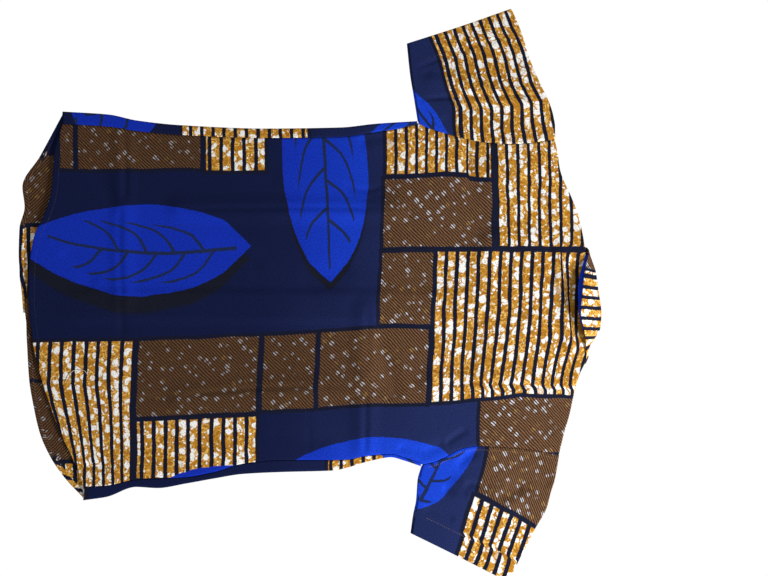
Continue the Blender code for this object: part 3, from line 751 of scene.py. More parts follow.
def right_sleeve_print(place):
    """Place in the print for each place in the right sleeve's cut."""
    x, y = place[..., 0], place[..., 1]
    slope, start, end = RIGHT_HEM_LINE
    step = RIGHT_HEM_STEP * rise(-y - slope * x, start, end)
    along = x - looked_up(RIGHT_SLEEVE_LEAN, y) - step
    return np.stack((along, y + looked_up(RIGHT_SLEEVE_DROP, x)), axis=-1)


def same_print(place):
    """The print follows the cut as it lies."""
    return place


def grid_faces(rows, columns, closed):
    """Corner numbers of the faces between the points of a grid."""
    index = np.arange(rows * columns).reshape(rows, columns)
    if closed:
        index = np.concatenate((index, index[:, :1]), axis=1)
    corners = (index[:-1, :-1], index[:-1, 1:], index[1:, 1:], index[1:, :-1])
    return np.stack(corners, axis=-1).reshape(-1, 4)


def cut_measures(quads):
    """Size across, size along and area of the cut that the given faces cover."""
    corners = quads.reshape(-1, 2)
    along, across = corners.max(axis=0) - corners.min(axis=0)
    ahead = np.roll(quads, -1, axis=1)
    doubled = (quads[..., 0] * ahead[..., 1] - ahead[..., 0] * quads[..., 1]).sum(axis=1)
    return float(across), float(along), float(np.abs(doubled).sum() / 2)


def cloth(name, points, flat, printed, material, slot, node, closed=False):
    """One thin shell of cloth through a grid of points; a missing point leaves a place open."""
    rows, columns = points.shape[:2]
    corners = grid_faces(rows, columns, closed)
    cuts = grid_faces(*flat.shape[:2], False)
    places = points.reshape(-1, 3)
    whole = np.isfinite(places[corners]).all(axis=(1, 2))
    corners = corners[whole]
    cuts = cuts[whole]
    used = np.unique(corners)
    renumber = np.full(len(places), -1)
    renumber[used] = np.arange(len(used))
    mesh = bpy.data.meshes.new(name)
    mesh.from_pydata((places[used] * MM).tolist(), [], renumber[corners].tolist())
    layer = mesh.uv_layers.new(name="cut")
    prints = printed(flat).reshape(-1, 2)[cuts.reshape(-1)] * MM
    layer.data.foreach_set("uv", prints.astype(np.float32).reshape(-1))
    mesh.shade_smooth()
    mesh.materials.append(material)
    item = bpy.data.objects.new(name, mesh)
    bpy.context.scene.collection.objects.link(item)
    shell = item.modifiers.new("shell", "SOLIDIFY")
    shell.thickness = SHELL * MM
    shell.offset = 0
    shell.use_even_offset = False
    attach(item, BODY)
    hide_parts(node)
    across, along, area = cut_measures(flat.reshape(-1, 2)[cuts])


def seam_edge(points, flat, drop, last=False):
    """Turn the first or last column of a grid down into its seam."""
    if last:
        points, flat = points[:, ::-1], flat[:, ::-1]
    inward = unit(points[:, 1, :2] - points[:, 0, :2])
    new_points = []
    new_flat = []
    for inset, share, cut in SEAM_PROFILE:
        moved = points[:, 0].copy()
        moved[:, :2] += inward * inset
        moved[:, 2] -= drop * share
        new_points.append(moved)
        new_flat.append(flat[:, 0] + inward * cut)
    points = np.concatenate((np.stack(new_points, axis=1), points[:, 1:]), axis=1)
    flat = np.concatenate((np.stack(new_flat, axis=1), flat[:, 1:]), axis=1)
    if last:
        points, flat = points[:, ::-1], flat[:, ::-1]
    return points, flat


def turned_hem(points, flat, width, way, level):
    """Fold the hem row over: way 1 lays the hem on the cloth, -1 lays it under."""
    edge = points[0, :, :2]
    run = unit(np.gradient(edge, axis=0))
    outward = np.column_stack((run[:, 1], -run[:, 0]))
    outward *= np.where(outward[:, :1] > 0, -1.0, 1.0)
    centre = edge - outward * (HEM_RADIUS + HALF_SHELL)
    top = 2 * HEM_RADIUS * way
    rows = []
    cuts = []
    for inset in np.linspace(width, 0, HEM_ROWS, endpoint=False):
        place = centre - outward * inset
        rows.append(raised(place, level(place) + top))
        cuts.append(flat[0] + outward * (inset + math.pi * HEM_RADIUS))
    for angle in np.linspace(math.pi, 0, HEM_TURN_STEPS + 1):
        place = centre + outward * HEM_RADIUS * math.sin(angle)
        rows.append(raised(place, level(centre) + way * HEM_RADIUS * (1 - math.cos(angle))))
        cuts.append(flat[0] + outward * HEM_RADIUS * angle)
    return np.stack(rows), np.stack(cuts)


def shoulder_turn(line, outward, depth, end):
    """The back's shoulder edges turned over and laid inward, with no points along the neck."""
    inside = lower_height(line) + SHOULDER_LAP
    turn = edge_turn(line, outward, inside, upper_height(line))
    inner = line - outward * (depth + SHOULDER_RETURN)[:, None]
    turned = np.concatenate((turn[:, -2::-1], raised(inner, inside)[:, None]), axis=1)
    turned[~outward.any(axis=1)] = np.nan
    arc = math.pi * (depth - HALF_SHELL)
    steps = [end + outward * (arc * (step + 1) / TURN_STEPS)[:, None] for step in range(TURN_STEPS)]
    steps.append(end + outward * (arc + SHOULDER_RETURN)[:, None])
    return turned, np.stack(steps, axis=1)


def back_grid():
    """Points of the back and their places in its cut, with both shoulder edges turned over."""
    right_seam, _, right_chest = side_curves(RIGHT_SIDE, RIGHT_ARMHOLE)
    left_seam, _, left_chest = side_curves(LEFT_SIDE, LEFT_ARMHOLE)
    right_edge = np.vstack((right_seam, right_chest[1:])) + (0, GAP / 2)
    left_edge = np.vstack((left_seam, left_chest[1:])) - (0, GAP / 2)
    right_line, right_out = shoulder_edge(RIGHT_SHOULDER)
    left_line, left_out = shoulder_edge(LEFT_SHOULDER[::-1])
    right_line[0] = right_line[0] + (0, GAP / 2)
    left_line[-1] = left_line[-1] - (0, GAP / 2)
    neck = curve_points(BACK_NECK, np.linspace(0, 1, NECK_COLUMNS + 1))
    line = np.vstack((right_line, neck[1:-1], left_line))
    outward = np.vstack((right_out, np.zeros((NECK_COLUMNS - 1, 2)), left_out))
    depth = turn_depth(line)
    end = line - outward * depth[:, None]
    right_edge[-1] = end[0]
    left_edge[-1] = end[-1]
    across = (line[:, 1] - line[0, 1]) / (line[-1, 1] - line[0, 1])
    hem = curve_points(BACK_HEM, across)
    hem[0] = right_edge[0]
    hem[-1] = left_edge[0]
    rows = (shares_along(right_edge) + shares_along(left_edge)) / 2
    plan = coons(right_edge, left_edge, hem, end, rows, across)
    points = raised(plan, upper_height(plan))
    flat = plan.copy()
    hem_points, hem_flat = turned_hem(points, flat, BACK_HEM_WIDTH, -1, upper_height)
    turned, turned_flat = shoulder_turn(line, outward, depth, end)
    inside_neck = np.flatnonzero(~outward.any(axis=1))[1:-1]
    for step, (inset, share) in enumerate(NECK_DROP):
        turned[inside_neck, step, :2] = end[inside_neck] + (inset, 0)
        turned[inside_neck, step, 2] = upper_height(end[inside_neck]) - SEAM_DROP * share
    points[-1, inside_neck, 0] -= NECK_INSET
    points = np.concatenate((hem_points, points[1:], turned.transpose(1, 0, 2)))
    flat = np.concatenate((hem_flat, flat[1:], turned_flat.transpose(1, 0, 2)))
    drop = np.full(len(points), SEAM_DROP)
    drop[:len(hem_points)] = 0.0
    drop[-(TURN_STEPS + 1):] = 0.0
    points, flat = seam_edge(points, flat, drop)
    return seam_edge(points, flat, drop, last=True)


def front_neck(columns, sign):
    """Neckline points of one front, at its own columns and along the shoulder seam."""
    distance = np.abs(np.array(columns) - CENTRE)
    points = np.column_stack((smooth_rows(FRONT_NECK, distance)[:, 1], columns))
    shoulder = LEFT_SHOULDER if sign > 0 else RIGHT_SHOULDER
    line, outward = shoulder_edge(shoulder[::-1])
    set_back = line - outward * (turn_depth(line) + SHOULDER_RETURN + GAP)[:, None]
    return points, set_back


def side_wrap(seam, fold, folded, sign):
    """Turn of a front round its side and on to the side seam, and its places in the cut."""
    outward = np.tile((0.0, sign), (len(fold), 1))
    turn = edge_turn(fold, outward, lower_height(fold), upper_height(fold))[:, 1:]
    radius = (upper_height(fold) - lower_height(fold)) / 2
    angles = np.linspace(0, math.pi, TURN_STEPS + 1)[1:]
    turn_flat = folded[:, None] + outward[:, None] * (radius[:, None] * angles)[..., None]
    over_top = np.linspace(0, 1, WRAP_STEPS + 1)[1:, None]
    run = (seam[:, None] - turn[:, -1:, :2]) * over_top
    top = turn[:, -1:, :2] + run
    top_flat = turn_flat[:, -1:] + np.linalg.norm(run, axis=-1, keepdims=True) * outward[:, None]
    wrap = np.concatenate((turn, raised(top, upper_height(top))), axis=1)
    wrap_flat = np.concatenate((turn_flat, top_flat), axis=1)
    return seam_edge(wrap, wrap_flat, np.full(len(fold), SEAM_DROP), last=True)


def beside_grid(grid, extra):
    """A grid with more columns beside its first rows, and no points beside the others."""
    empty = np.full((len(grid) - len(extra), *extra.shape[1:]), np.nan)
    return np.concatenate((grid, np.concatenate((extra, empty))), axis=1)


def front_grid(side, armhole, hem, columns, fixed, overlap):
    """Points of one front and their places in its cut, wrapped up round the folded side."""
    sign = 1 if side[0][1] > 0 else -1
    seam, fold, chest = side_curves(side, armhole)
    seam = seam + (0, sign * GAP / 2)
    chest = chest - (0, sign * GAP / 2)
    folded = fold - np.column_stack((np.zeros(len(fold)), sign * turn_depth(fold)))
    neck, set_back = front_neck(columns, sign)
    last_x = chest[-1, 0] - turn_depth(chest[-1]) - SHOULDER_RETURN - GAP
    steps = np.arange(len(chest))
    taken = np.linspace(0, np.interp(last_x, chest[:, 0], steps), len(chest))
    chest = np.column_stack([np.interp(taken, steps, chest[:, axis]) for axis in (0, 1)])
    outer = np.vstack((folded, chest[1:]))
    end = np.vstack((neck, set_back))
    end[-1] = outer[-1]
    down = shares_along(outer)
    over = (end[:, 1] - end[0, 1]) / (end[-1, 1] - end[0, 1])
    centre_edge = hem[0][0] + (end[0, 0] - hem[0][0]) * down
    inner = np.column_stack((centre_edge, np.full(len(down), columns[0])))
    start = curve_points(hem, over)
    start[0] = inner[0]
    start[-1] = outer[0]
    plan = coons(inner, outer, start, end, down, over)
    plan[:, :fixed, 1] = columns[:fixed]
    points = raised(plan, lower_height(plan) + overlap(plan))
    flat = plan.copy()
    hem_points, hem_flat = turned_hem(points, flat, HEM_TURN, 1, lambda p: lower_height(p) + overlap(p))
    wrap, wrap_flat = side_wrap(seam, fold, folded, sign)
    points = beside_grid(points, wrap)
    flat = beside_grid(flat, wrap_flat)
    hem_points = beside_grid(hem_points, wrap[:0])
    hem_flat = beside_grid(hem_flat, wrap_flat[:0])
    wide = wrap.shape[1]
    hem_points[-1, -wide:] = points[0, -wide:]
    hem_flat[-1, -wide:] = flat[0, -wide:]
    return np.concatenate((hem_points, points[1:])), np.concatenate((hem_flat, flat[1:]))


def right_overlap(place):
    """The right front lies on the left one where they overlap."""
    return OVERLAP_STEP * rise(place[..., 1], *OVERLAP_FADE)


def left_overlap(place):
    """The left front stays lowest."""
    return np.zeros(place.shape[:-1])


def sleeve_ring(plan, shrink):
    """Rings of a flat tube through rows of plan points, and their places in the cut."""
    first, last = plan[:, 0], plan[:, -1]
    outward = unit(last - first)
    low_first = lower_height(first) + shrink
    high_first = upper_height(first) - shrink
    low_last = lower_height(last) + shrink
    high_last = upper_height(last) - shrink
    under = edge_turn(first, -outward, low_first, high_first)
    over = edge_turn(last, outward, low_last, high_last)[:, ::-1]
    middle = plan[:, 1:-1]
    upper = raised(middle, upper_height(middle) - shrink[:, None])
    lower = raised(middle, lower_height(middle) + shrink[:, None])[:, ::-1]
    points = np.concatenate((under, upper, over, lower), axis=1)
    angles = np.linspace(0, math.pi, TURN_STEPS + 1)
    width = np.linalg.norm(last - first, axis=1)
    first_radius = (high_first - low_first) / 2
    last_radius = (high_last - low_last) / 2
    steps = [(angles[None] - math.pi) * first_radius[:, None] + first_radius[:, None]]
    inside = np.linalg.norm(middle - first[:, None], axis=-1)
    steps.append(inside)
    steps.append(width[:, None] - last_radius[:, None] + angles[None] * last_radius[:, None])
    end = width - last_radius + math.pi * last_radius
    steps.append(end[:, None] + width[:, None] - last_radius[:, None] - inside[:, ::-1])
    closing = end + width - last_radius - first_radius
    steps.append(closing[:, None])
    run = np.concatenate(steps, axis=1)
    flat = first[:, None] + outward[:, None] * run[..., None]
    return points, flat


def sleeve_grid(armhole, underarm, shoulder, cuff, sign):
    """Points of one sleeve and their places in its cut, with the cuff hem turned inside."""
    over = np.linspace(0, 1, CHEST_ROWS + 1)
    start = curve_points(armhole, over) + (0, sign * GAP / 2)
    end = curve_points(cuff, over)
    length = np.linalg.norm(end.mean(axis=0) - start.mean(axis=0))
    edge = (HEM_RADIUS + HALF_SHELL) / length
    angles = np.linspace(0, math.pi, HEM_TURN_STEPS + 1)
    turn = 1 - edge + np.sin(angles) * HEM_RADIUS / length
    inner = 1 - edge - np.linspace(0, 1, HEM_ROWS + 1)[1:] * SLEEVE_HEM / length
    begin = np.array([inset for inset, _, _ in SEAM_PROFILE]) / length
    outside = np.linspace(begin[-1], 1 - edge, SLEEVE_ROWS)[1:-1]
    down = np.concatenate((begin, outside, turn, inner))
    shrink = np.concatenate((
        [SEAM_DROP * share for _, share, _ in SEAM_PROFILE], np.zeros(len(outside)),
        HEM_RADIUS * (1 - np.cos(angles)), np.full(len(inner), 2 * HEM_RADIUS)))
    low_edge = curve_points(underarm, down)
    high_edge = curve_points(shoulder, down)
    start[0], end[0] = np.array(underarm[0]), np.array(underarm[-1])
    start[-1], end[-1] = np.array(shoulder[0]), np.array(shoulder[-1])
    plan = coons(low_edge, high_edge, start, end, down, over)
    points, flat = sleeve_ring(plan, shrink)
    mirrored = len(begin) + len(outside) + len(turn)
    cuff_flat = flat[mirrored - len(turn)]
    flat[mirrored:] = 2 * cuff_flat - flat[mirrored:]
    return points, flat


def front_seam(columns, sign, stations):
    """The stand's seam along one front neckline, from the centre to the shoulder fold."""
    neck, set_back = front_neck(columns, sign)
    corner = set_back[0]
    line = np.vstack((neck, corner))
    order = np.argsort(line[:, 1])
    levels = [CENTRE + sign * GAP]
    levels += [y for y in columns if sign * (y - CENTRE) > OVERLAP_CLEAR]
    levels.append(corner[1] - sign * SEAM_CLEAR)
    points = []
    for y in levels:
        x = np.interp(y, line[order, 1], line[order, 0]) + SEAM_CLEAR
        share = abs(y - CENTRE) / abs(corner[1] - CENTRE)
        low = float(lower_height(np.array((x, y))))
        points.append((stations[0] + (stations[1] - stations[0]) * share, x, y, low))
    return points


def shoulder_seam(corner, tip, station, way):
    """The stand's seam round the end of a turned shoulder edge, from the front to the back."""
    inward = -1 if tip[1] > CENTRE else 1
    low = float(lower_height(tip))
    high = float(upper_height(tip))
    side_step = np.array((0, inward * 2 * SEAM_CLEAR))
    near, far = [corner + (tip - corner) * share + side_step for share in FOLD_SHARES]
    before, beside = FOLD_STATIONS
    return [
        (station - before * way, *near, low),
        (station - beside * way, *far, low + 2 * GAP),
        (station, tip[0] + SEAM_CLEAR, tip[1] + inward * 2 * SHELL, (low + high) / 2),
        (station + beside * way, tip[0] - 2 * SHELL, tip[1] + inward * 4 * SHELL, high),
    ]


def collar_seam():
    """Station, place and level along the whole neckline seam."""
    left_corner = front_neck(LEFT_FRONT_COLUMNS, 1)[1][0]
    right_corner = front_neck(RIGHT_FRONT_COLUMNS, -1)[1][0]
    neck = curve_points(BACK_NECK, np.linspace(0, 1, NECK_COLUMNS + 1))[::-1]
    points = front_seam(LEFT_FRONT_COLUMNS, 1, (0.0, FRONT_STATIONS))
    points += shoulder_seam(left_corner, neck[0], 1.0, 1)
    for index in range(1, NECK_COLUMNS):
        if index / NECK_COLUMNS > FOLD_STATIONS[1] and 1 - index / NECK_COLUMNS > FOLD_STATIONS[1]:
            x = neck[index, 0] + SEAM_CLEAR
            y = neck[index, 1]
            level = float(upper_height(np.array((x, y)))) - SEAM_DROP / 2
            points.append((1 + index / NECK_COLUMNS, x, y, level))
    points += shoulder_seam(right_corner, neck[-1], 2.0, -1)[::-1]
    right = front_seam(RIGHT_FRONT_COLUMNS, -1, (3.0, 3.0 - FRONT_STATIONS))
    return np.array(points + right[::-1])


def collar_grids():
    """Points of the stand and of the fall across the collar, station by station."""
    stands = []
    falls = []
    seams = collar_seam()
    widths = np.linspace(0, 1, COLLAR_WIDTH_STEPS + 1)
    for seam, row in zip(seams, smooth_rows(COLLAR, seams[:, 0])):
        place = seam[1:]
        radius = row[4]
        side = math.radians(min(max(row[5], -90), 90))
        out = row[1:3] - place[:2]
        out /= np.linalg.norm(out)
        beside = np.array((-out[1], out[0]))
        if beside[1] * (row[2] - CENTRE) < 0:
            beside = -beside
        toward = np.array((*(beside * math.cos(side)), math.sin(side)))
        outward = np.array((*out, 0.0))
        middle = row[1:4] - outward * (radius + HALF_SHELL)
        bend = []
        for angle in np.linspace(0, math.pi, TURN_STEPS + 1):
            spoke = outward * math.sin(angle) - toward * math.cos(angle)
            bend.append(middle + spoke * radius)
        crease = 1 - float(rise(min(abs(seam[0] - 1), abs(seam[0] - 2)), *CREASE_REACH))
        stand_end = bend[0] - outward * 2 * SEAM_CLEAR
        stand_end = stand_end + (place - stand_end) * CREASE_SHARE * crease
        stands.append([place + (stand_end - place) * share for share in widths])
        falls.append(bend + [bend[-1] + (row[6:9] - bend[-1]) * share for share in widths[1:]])
    return np.array(stands), np.array(falls)


def strip_flat(points, middle):
    """Cut of a long strip: the distance along its middle column, and across each row."""
    along = running_length(points[:, middle])
    across = np.linalg.norm(np.diff(points, axis=1), axis=2)
    across = np.concatenate((np.zeros((len(points), 1)), np.cumsum(across, axis=1)), axis=1)
    return np.stack((np.broadcast_to(along[:, None], across.shape), across), axis=-1)


class Value:
    """A number that a material works out at each point: sums with it make math nodes."""

    def __init__(self, nodes, socket):
        self.nodes = nodes
        self.socket = socket

    def __add__(self, other):
        return self.nodes.math("ADD", self, other)

    def __sub__(self, other):
        return self.nodes.math("SUBTRACT", self, other)

    def __rsub__(self, other):
        return self.nodes.math("SUBTRACT", other, self)

    def __mul__(self, other):
        return self.nodes.math("MULTIPLY", self, other)

    def __truediv__(self, other):
        return self.nodes.math("DIVIDE", self, other)

    def __pow__(self, other):
        return self.nodes.math("POWER", self, other)

    def __abs__(self):
        return self.nodes.math("ABSOLUTE", self)

    def __gt__(self, other):
        return self.nodes.math("GREATER_THAN", self, other)

    def __lt__(self, other):
        return self.nodes.math("LESS_THAN", self, other)


class Nodes:
    """Short ways to build one material out of nodes."""

    def __init__(self, name, roughness):
        self.material = bpy.data.materials.new(name)
        self.material.use_nodes = True
        self.tree = self.material.node_tree
        self.shader = self.tree.nodes["Principled BSDF"]
        self.shader.inputs["Roughness"].default_value = roughness

    def put(self, socket, value):
        """Link a socket to an input, or set the input's own value."""
        if isinstance(value, Value):
            value = value.socket
        if isinstance(value, bpy.types.NodeSocket):
            self.tree.links.new(value, socket)
        elif isinstance(value, tuple) and socket.type == "RGBA":
            socket.default_value = (*value, 1)
        else:
            socket.default_value = value

    def add(self, kind, **inputs):
        """A new node with values or links at its named inputs."""
        node = self.tree.nodes.new("ShaderNode" + kind)
        for name, value in inputs.items():
            self.put(node.inputs[name], value)
        return node

    def math(self, operation, *values, clamp=False):
        """One sum of numbers."""
        node = self.add("Math")
        node.operation = operation
        node.use_clamp = clamp
        for socket, value in zip(node.inputs, values):
            self.put(socket, value)
        return Value(self, node.outputs[0])

    def lesser(self, first, second):
        """The smaller of two numbers."""
        return self.math("MINIMUM", first, second)

    def step(self, value, start, end):
        """Smooth step from 0 at start to 1 at end."""
        node = self.add("MapRange", **{"Value": value, "From Min": start, "From Max": end})
        node.interpolation_type = "SMOOTHSTEP"
        return Value(self, node.outputs[0])

    def mix(self, share, first, second):
        """Colour between two colours."""
        node = self.add("Mix")
        node.data_type = "RGBA"
        self.put(node.inputs[0], share)
        self.put(node.inputs[6], first)
        self.put(node.inputs[7], second)
        return node.outputs[2]

    def join(self, x, y):
        """Vector of two numbers."""
        return self.add("CombineXYZ", X=x, Y=y).outputs[0]

    def parts(self, vector):
        """The numbers of a vector."""
        return [Value(self, socket) for socket in self.add("SeparateXYZ", Vector=vector).outputs]

    def noise(self, vector, scale, detail=2.0):
        """Noise value, and noise colour, of patches one over scale wide."""
        node = self.add("TexNoise", Vector=vector, Scale=scale, Detail=detail)
        return Value(self, node.outputs[0]), node.outputs[1]

    def cells(self, vector, scale, feature="F1"):
        """Voronoi distance and cell colour."""
        node = self.add("TexVoronoi", Vector=vector, Scale=scale)
        node.voronoi_dimensions = "2D"
        node.feature = feature
        return Value(self, node.outputs[0]), node.outputs[1]


def print_place(nodes):
    """Place in the print in millimetres, slightly uneven as printed cloth is."""
    node = nodes.add("UVMap")
    node.uv_map = "cut"
    u, v, _ = nodes.parts(node.outputs[0])
    u = u * MILLIMETRES
    v = v * MILLIMETRES
    plain = nodes.join(u, v)
    for scale, reach in PRINT_WARPS:
        _, warp = nodes.noise(plain, scale, 1.0)
        warp_u, warp_v, _ = nodes.parts(warp)
        u = u + (warp_u * reach - reach / 2)
        v = v + (warp_v * reach - reach / 2)
    return u, v


def block_values(nodes, u, v, blocks):
    """Masks of the hatched and the banded blocks, the bands' measures, and the nearest distance."""
    nearest = FAR
    masks = {"hatch": 0.0, "bands": 0.0}
    first, pitch, share = 0.0, 1.0, 0.0
    for kind, low_u, high_u, low_v, high_v, *bands in blocks:
        out_u = abs(u - (low_u + high_u) / 2) - (high_u - low_u) / 2
        out_v = abs(v - (low_v + high_v) / 2) - (high_v - low_v) / 2
        distance = nodes.math("MAXIMUM", out_u, out_v)
        nearest = nodes.lesser(nearest, distance)
        mask = nodes.math("MULTIPLY_ADD", distance, -BLOCK_SHARPNESS, 0.5, clamp=True)
        masks[kind] = mask + masks[kind]
        if bands:
            start, step, part = bands
            inside = distance < BLOCK_MARGIN
            first = inside * start + first
            pitch = inside * (step - 1) + pitch
            share = inside * part + share
    return masks, first, pitch, share, nearest


def band_colour(nodes, u, v, first, pitch, share):
    """Gold bands with rounded pale patches between narrow dark bands."""
    count = (u - first) / pitch
    part = nodes.math("FRACT", count)
    gold = nodes.step(nodes.lesser(part, share - part) * pitch, *GOLD_EDGE)
    along = nodes.math("FLOOR", count) * BAND_SHUFFLE + u
    _, bend = nodes.noise(nodes.join(along, v), PATCH_WARP_SCALE, 0.0)
    bend_u, bend_v, _ = nodes.parts(bend)
    place = nodes.join(bend_u * PATCH_WARP + along, bend_v * PATCH_WARP + v)
    shade, _ = nodes.noise(place, OCHRE_SCALE)
    colour = nodes.mix(nodes.step(shade, *OCHRE_STEP), OCHRE_DEEP, OCHRE)
    crack, _ = nodes.cells(place, 1 / CRACK_SIZE, "DISTANCE_TO_EDGE")
    gap, _ = nodes.noise(place, CRACK_GAP_SCALE, 1.0)
    crackle = nodes.step(crack, *CRACKLE_EDGE) * nodes.step(gap, *CRACKLE_GAP)
    colour = nodes.mix(crackle * CRACKLE_SHARE, colour, YELLOW)
    for size, chance, reach, yellow in PATCHES:
        distance, tint = nodes.cells(place, 1 / size)
        pick, wide, tone = nodes.parts(tint)
        edge = distance - (wide * PATCH_SPREAD + reach)
        patch = nodes.step(edge, *PATCH_EDGE) * nodes.step(pick, chance, chance + PATCH_PICK)
        pale = nodes.mix(nodes.step(tone, *YELLOW_STEP), YELLOW, CREAM) if yellow else CREAM
        colour = nodes.mix(patch, colour, pale)
    line = nodes.step(crack, *PATCH_CRACK_EDGE) * nodes.step(gap, *PATCH_CRACK_GAP)
    return nodes.mix(gold, LINE, nodes.mix(line, colour, OCHRE))


def hatch_colour(nodes, u, v, way):
    """Fine slanting lines in brown, with pale flecks here and there."""
    slant = v * way + u
    along = v * -way + u
    light = nodes.step(nodes.math("SINE", slant * (2 * math.pi / HATCH_PITCH)), *HATCH_LIGHT)
    distance, tint = nodes.cells(nodes.join(slant / FLECK_SPACING, along / FLECK_SPACING), 1.0)
    pick, second, _ = nodes.parts(tint)
    near = nodes.step(distance - (second * FLECK_SPREAD + FLECK_REACH), *FLECK_EDGE)
    pale = near * light * nodes.step(pick, *FLECK_PICK)
    warm = nodes.step(distance, *WARM_EDGE) * nodes.step(second, *WARM_PICK)
    colour = nodes.mix(light, UMBER, nodes.mix(warm, TAN, GOLD_LINE))
    return nodes.mix(pale, colour, PALE)


def leaf_shape(nodes, u, v, row, drop):
    """Places along and across one leaf, its half width, and the distance inside its edge."""
    base_u, base_v, tip_u, tip_v, width, base_power, tip_power, bow = row[:8]
    run = np.array((tip_u - base_u, tip_v - base_v), float)
    length = float(np.linalg.norm(run))
    run /= length
    moved = v + (drop - base_v)
    aside = u - base_u
    along = aside * run[0] + moved * run[1]
    across = aside * -run[1] + moved * run[0]
    share = nodes.math("DIVIDE", along, length, clamp=True)
    rest = 1.0 - share
    total = base_power + tip_power
    peak = width * total ** total / (base_power ** base_power * tip_power ** tip_power)
    half = nodes.lesser(share ** base_power * rest ** tip_power * peak, rest * length)
    inside = half - abs(across - share * rest * bow)
    return along, across, share, rest, half, inside


def leaf_blade(nodes, share, inside, softness):
    """Mask of a leaf or of its shadow, cut off at both ends."""
    ends = (share > LEAF_END) * (share < 1 - LEAF_END)
    return nodes.step(inside, -softness, softness) * ends


def leaf_lines(nodes, row, along, across, share, rest, half):
    """Mask of a leaf's rib and veins."""
    width, bow, swing = row[4], row[7], row[8]
    pitch, lean, start, stagger, first, last = row[9:15]
    bend = share * rest * (4.0 * bow)
    if swing:
        bend = rest ** 3.0 * swing + bend
    aside = across - bend
    side = abs(aside)
    growth, rib_width = TIP_RIB if lean < 0 else BASE_RIB
    rib = nodes.step(side - (share * growth + rib_width), *LINE_EDGE)
    rib = rib * (share > RIB_START) * (share < RIB_END)
    reach = VEIN_REACH * width
    sweep = VEIN_SWEEP if swing or lean < 0 else VEIN_SWEEP / 4
    spread = side / reach
    fourth = spread ** 4.0
    slope = fourth * (5 * sweep / reach) + abs(lean)
    curve = (side * abs(lean) + fourth * spread * sweep) * math.copysign(1.0, lean)
    whole = (along + curve) / pitch
    phase = (aside > 0.0) * stagger + whole + start
    distance = abs(nodes.math("FRACT", phase) - 0.5) * pitch
    distance = distance / nodes.math("SQRT", slope * slope + 1.0)
    vein = nodes.step(distance - (spread * -VEIN_TAPER + VEIN_WIDTH), *LINE_EDGE)
    limit = nodes.lesser(half * VEIN_LIMIT, reach)
    vein = vein * nodes.step(side - limit, *VEIN_END)
    vein = vein * ((phase > first) * (whole + start < last + 1))
    return nodes.math("MAXIMUM", rib, vein)


def printed_material(name, blocks, leaves, hatch_way):
    """Wax-print cotton: navy ground, hatched and banded blocks, and blue leaves over them; painted shade
    darkens all but the bands towards the hem.
    """
    nodes = Nodes(name, CLOTH_ROUGHNESS)
    u, v = print_place(nodes)
    place = nodes.join(u, v)
    masks, first, pitch, share, nearest = block_values(nodes, u, v, blocks)
    # Painted light: the navy is painted lighter towards the neck and darker towards the hem, where the lamp
    # falls dimmer.
    painted_light_wobble, _ = nodes.noise(place, PAINTED_LIGHT_WOBBLE_SCALE)
    painted_light = nodes.step(painted_light_wobble * PAINTED_LIGHT_WOBBLE_REACH + u, *PAINTED_LIGHT_STEP)
    colour = nodes.mix(painted_light, NAVY, NAVY_PAINTED_LIT)
    border = nodes.step(nearest, LINE_WIDTH + LINE_SOFTNESS, LINE_WIDTH - LINE_SOFTNESS)
    colour = nodes.mix(border * LINE_SHARE, colour, LINE)
    colour = nodes.mix(masks["bands"], colour, band_colour(nodes, u, v, first, pitch, share))
    hatch = hatch_colour(nodes, u, v, hatch_way)
    # Painted shade: the hatch turns towards umber towards the hem.
    hatch = nodes.mix(nodes.step(painted_light, 1.0, 0.0), hatch, nodes.mix(HATCH_PAINTED_SHADE, hatch, UMBER))
    colour = nodes.mix(masks["hatch"], colour, hatch)
    for row in leaves:
        if row[-1]:
            _, _, share, _, _, inside = leaf_shape(nodes, u, v, row, row[-1])
            colour = nodes.mix(leaf_blade(nodes, share, inside, SHADOW_SOFTNESS), colour, SHADE)
        *places, inside = leaf_shape(nodes, u, v, row, 0)
        blade = leaf_blade(nodes, places[2], inside, LEAF_SOFTNESS)
        # Painted light: the leaves' blue is lighter towards the neck.
        blue = nodes.mix(painted_light, ROYAL, ROYAL_PAINTED_LIT)
        leaf = nodes.mix(leaf_lines(nodes, row, *places), blue, VEIN)
        colour = nodes.mix(blade, colour, leaf)
    finish_cloth(nodes, colour, place)
    return nodes.material


def finish_cloth(nodes, colour, place):
    """Join a cloth colour to the shader, with a fine weave and a slight sheen."""
    wear, _ = nodes.noise(place, WEAVE_SCALE)
    grain, _ = nodes.noise(place, GRAIN_SCALE, 3.0)
    colour = nodes.mix(nodes.step(grain, *GRAIN_STEP) * GRAIN, colour, (0, 0, 0))
    nodes.put(nodes.shader.inputs["Base Color"], colour)
    nodes.put(nodes.shader.inputs["Specular IOR Level"], CLOTH_SHEEN)
    bump = nodes.add("Bump", Strength=WEAVE_STRENGTH, Distance=WEAVE_DEPTH, Height=wear)
    nodes.put(nodes.shader.inputs["Normal"], bump.outputs[0])


def plain_cloth(name, colour):
    """Dyed cotton of one colour; for the stand, that is its royal dye painted brighter against its shade.
    """
    nodes = Nodes(name, CLOTH_ROUGHNESS)
    finish_cloth(nodes, colour, nodes.join(*print_place(nodes)))
    return nodes.material


def plain_material(name, colour, roughness):
    """One plain colour."""
    nodes = Nodes(name, roughness)
    nodes.put(nodes.shader.inputs["Base Color"], colour)
    return nodes.material


def plain_object(name, places, faces, material, smooth=True):
    """A mesh from points in millimetres, one of the shirt's own pieces."""
    mesh = bpy.data.meshes.new(name)
    mesh.from_pydata((np.asarray(places, float) * MM).tolist(), [], faces)
    if smooth:
        mesh.shade_smooth()
    mesh.materials.append(material)
    item = bpy.data.objects.new(name, mesh)
    bpy.context.scene.collection.objects.link(item)
    return item


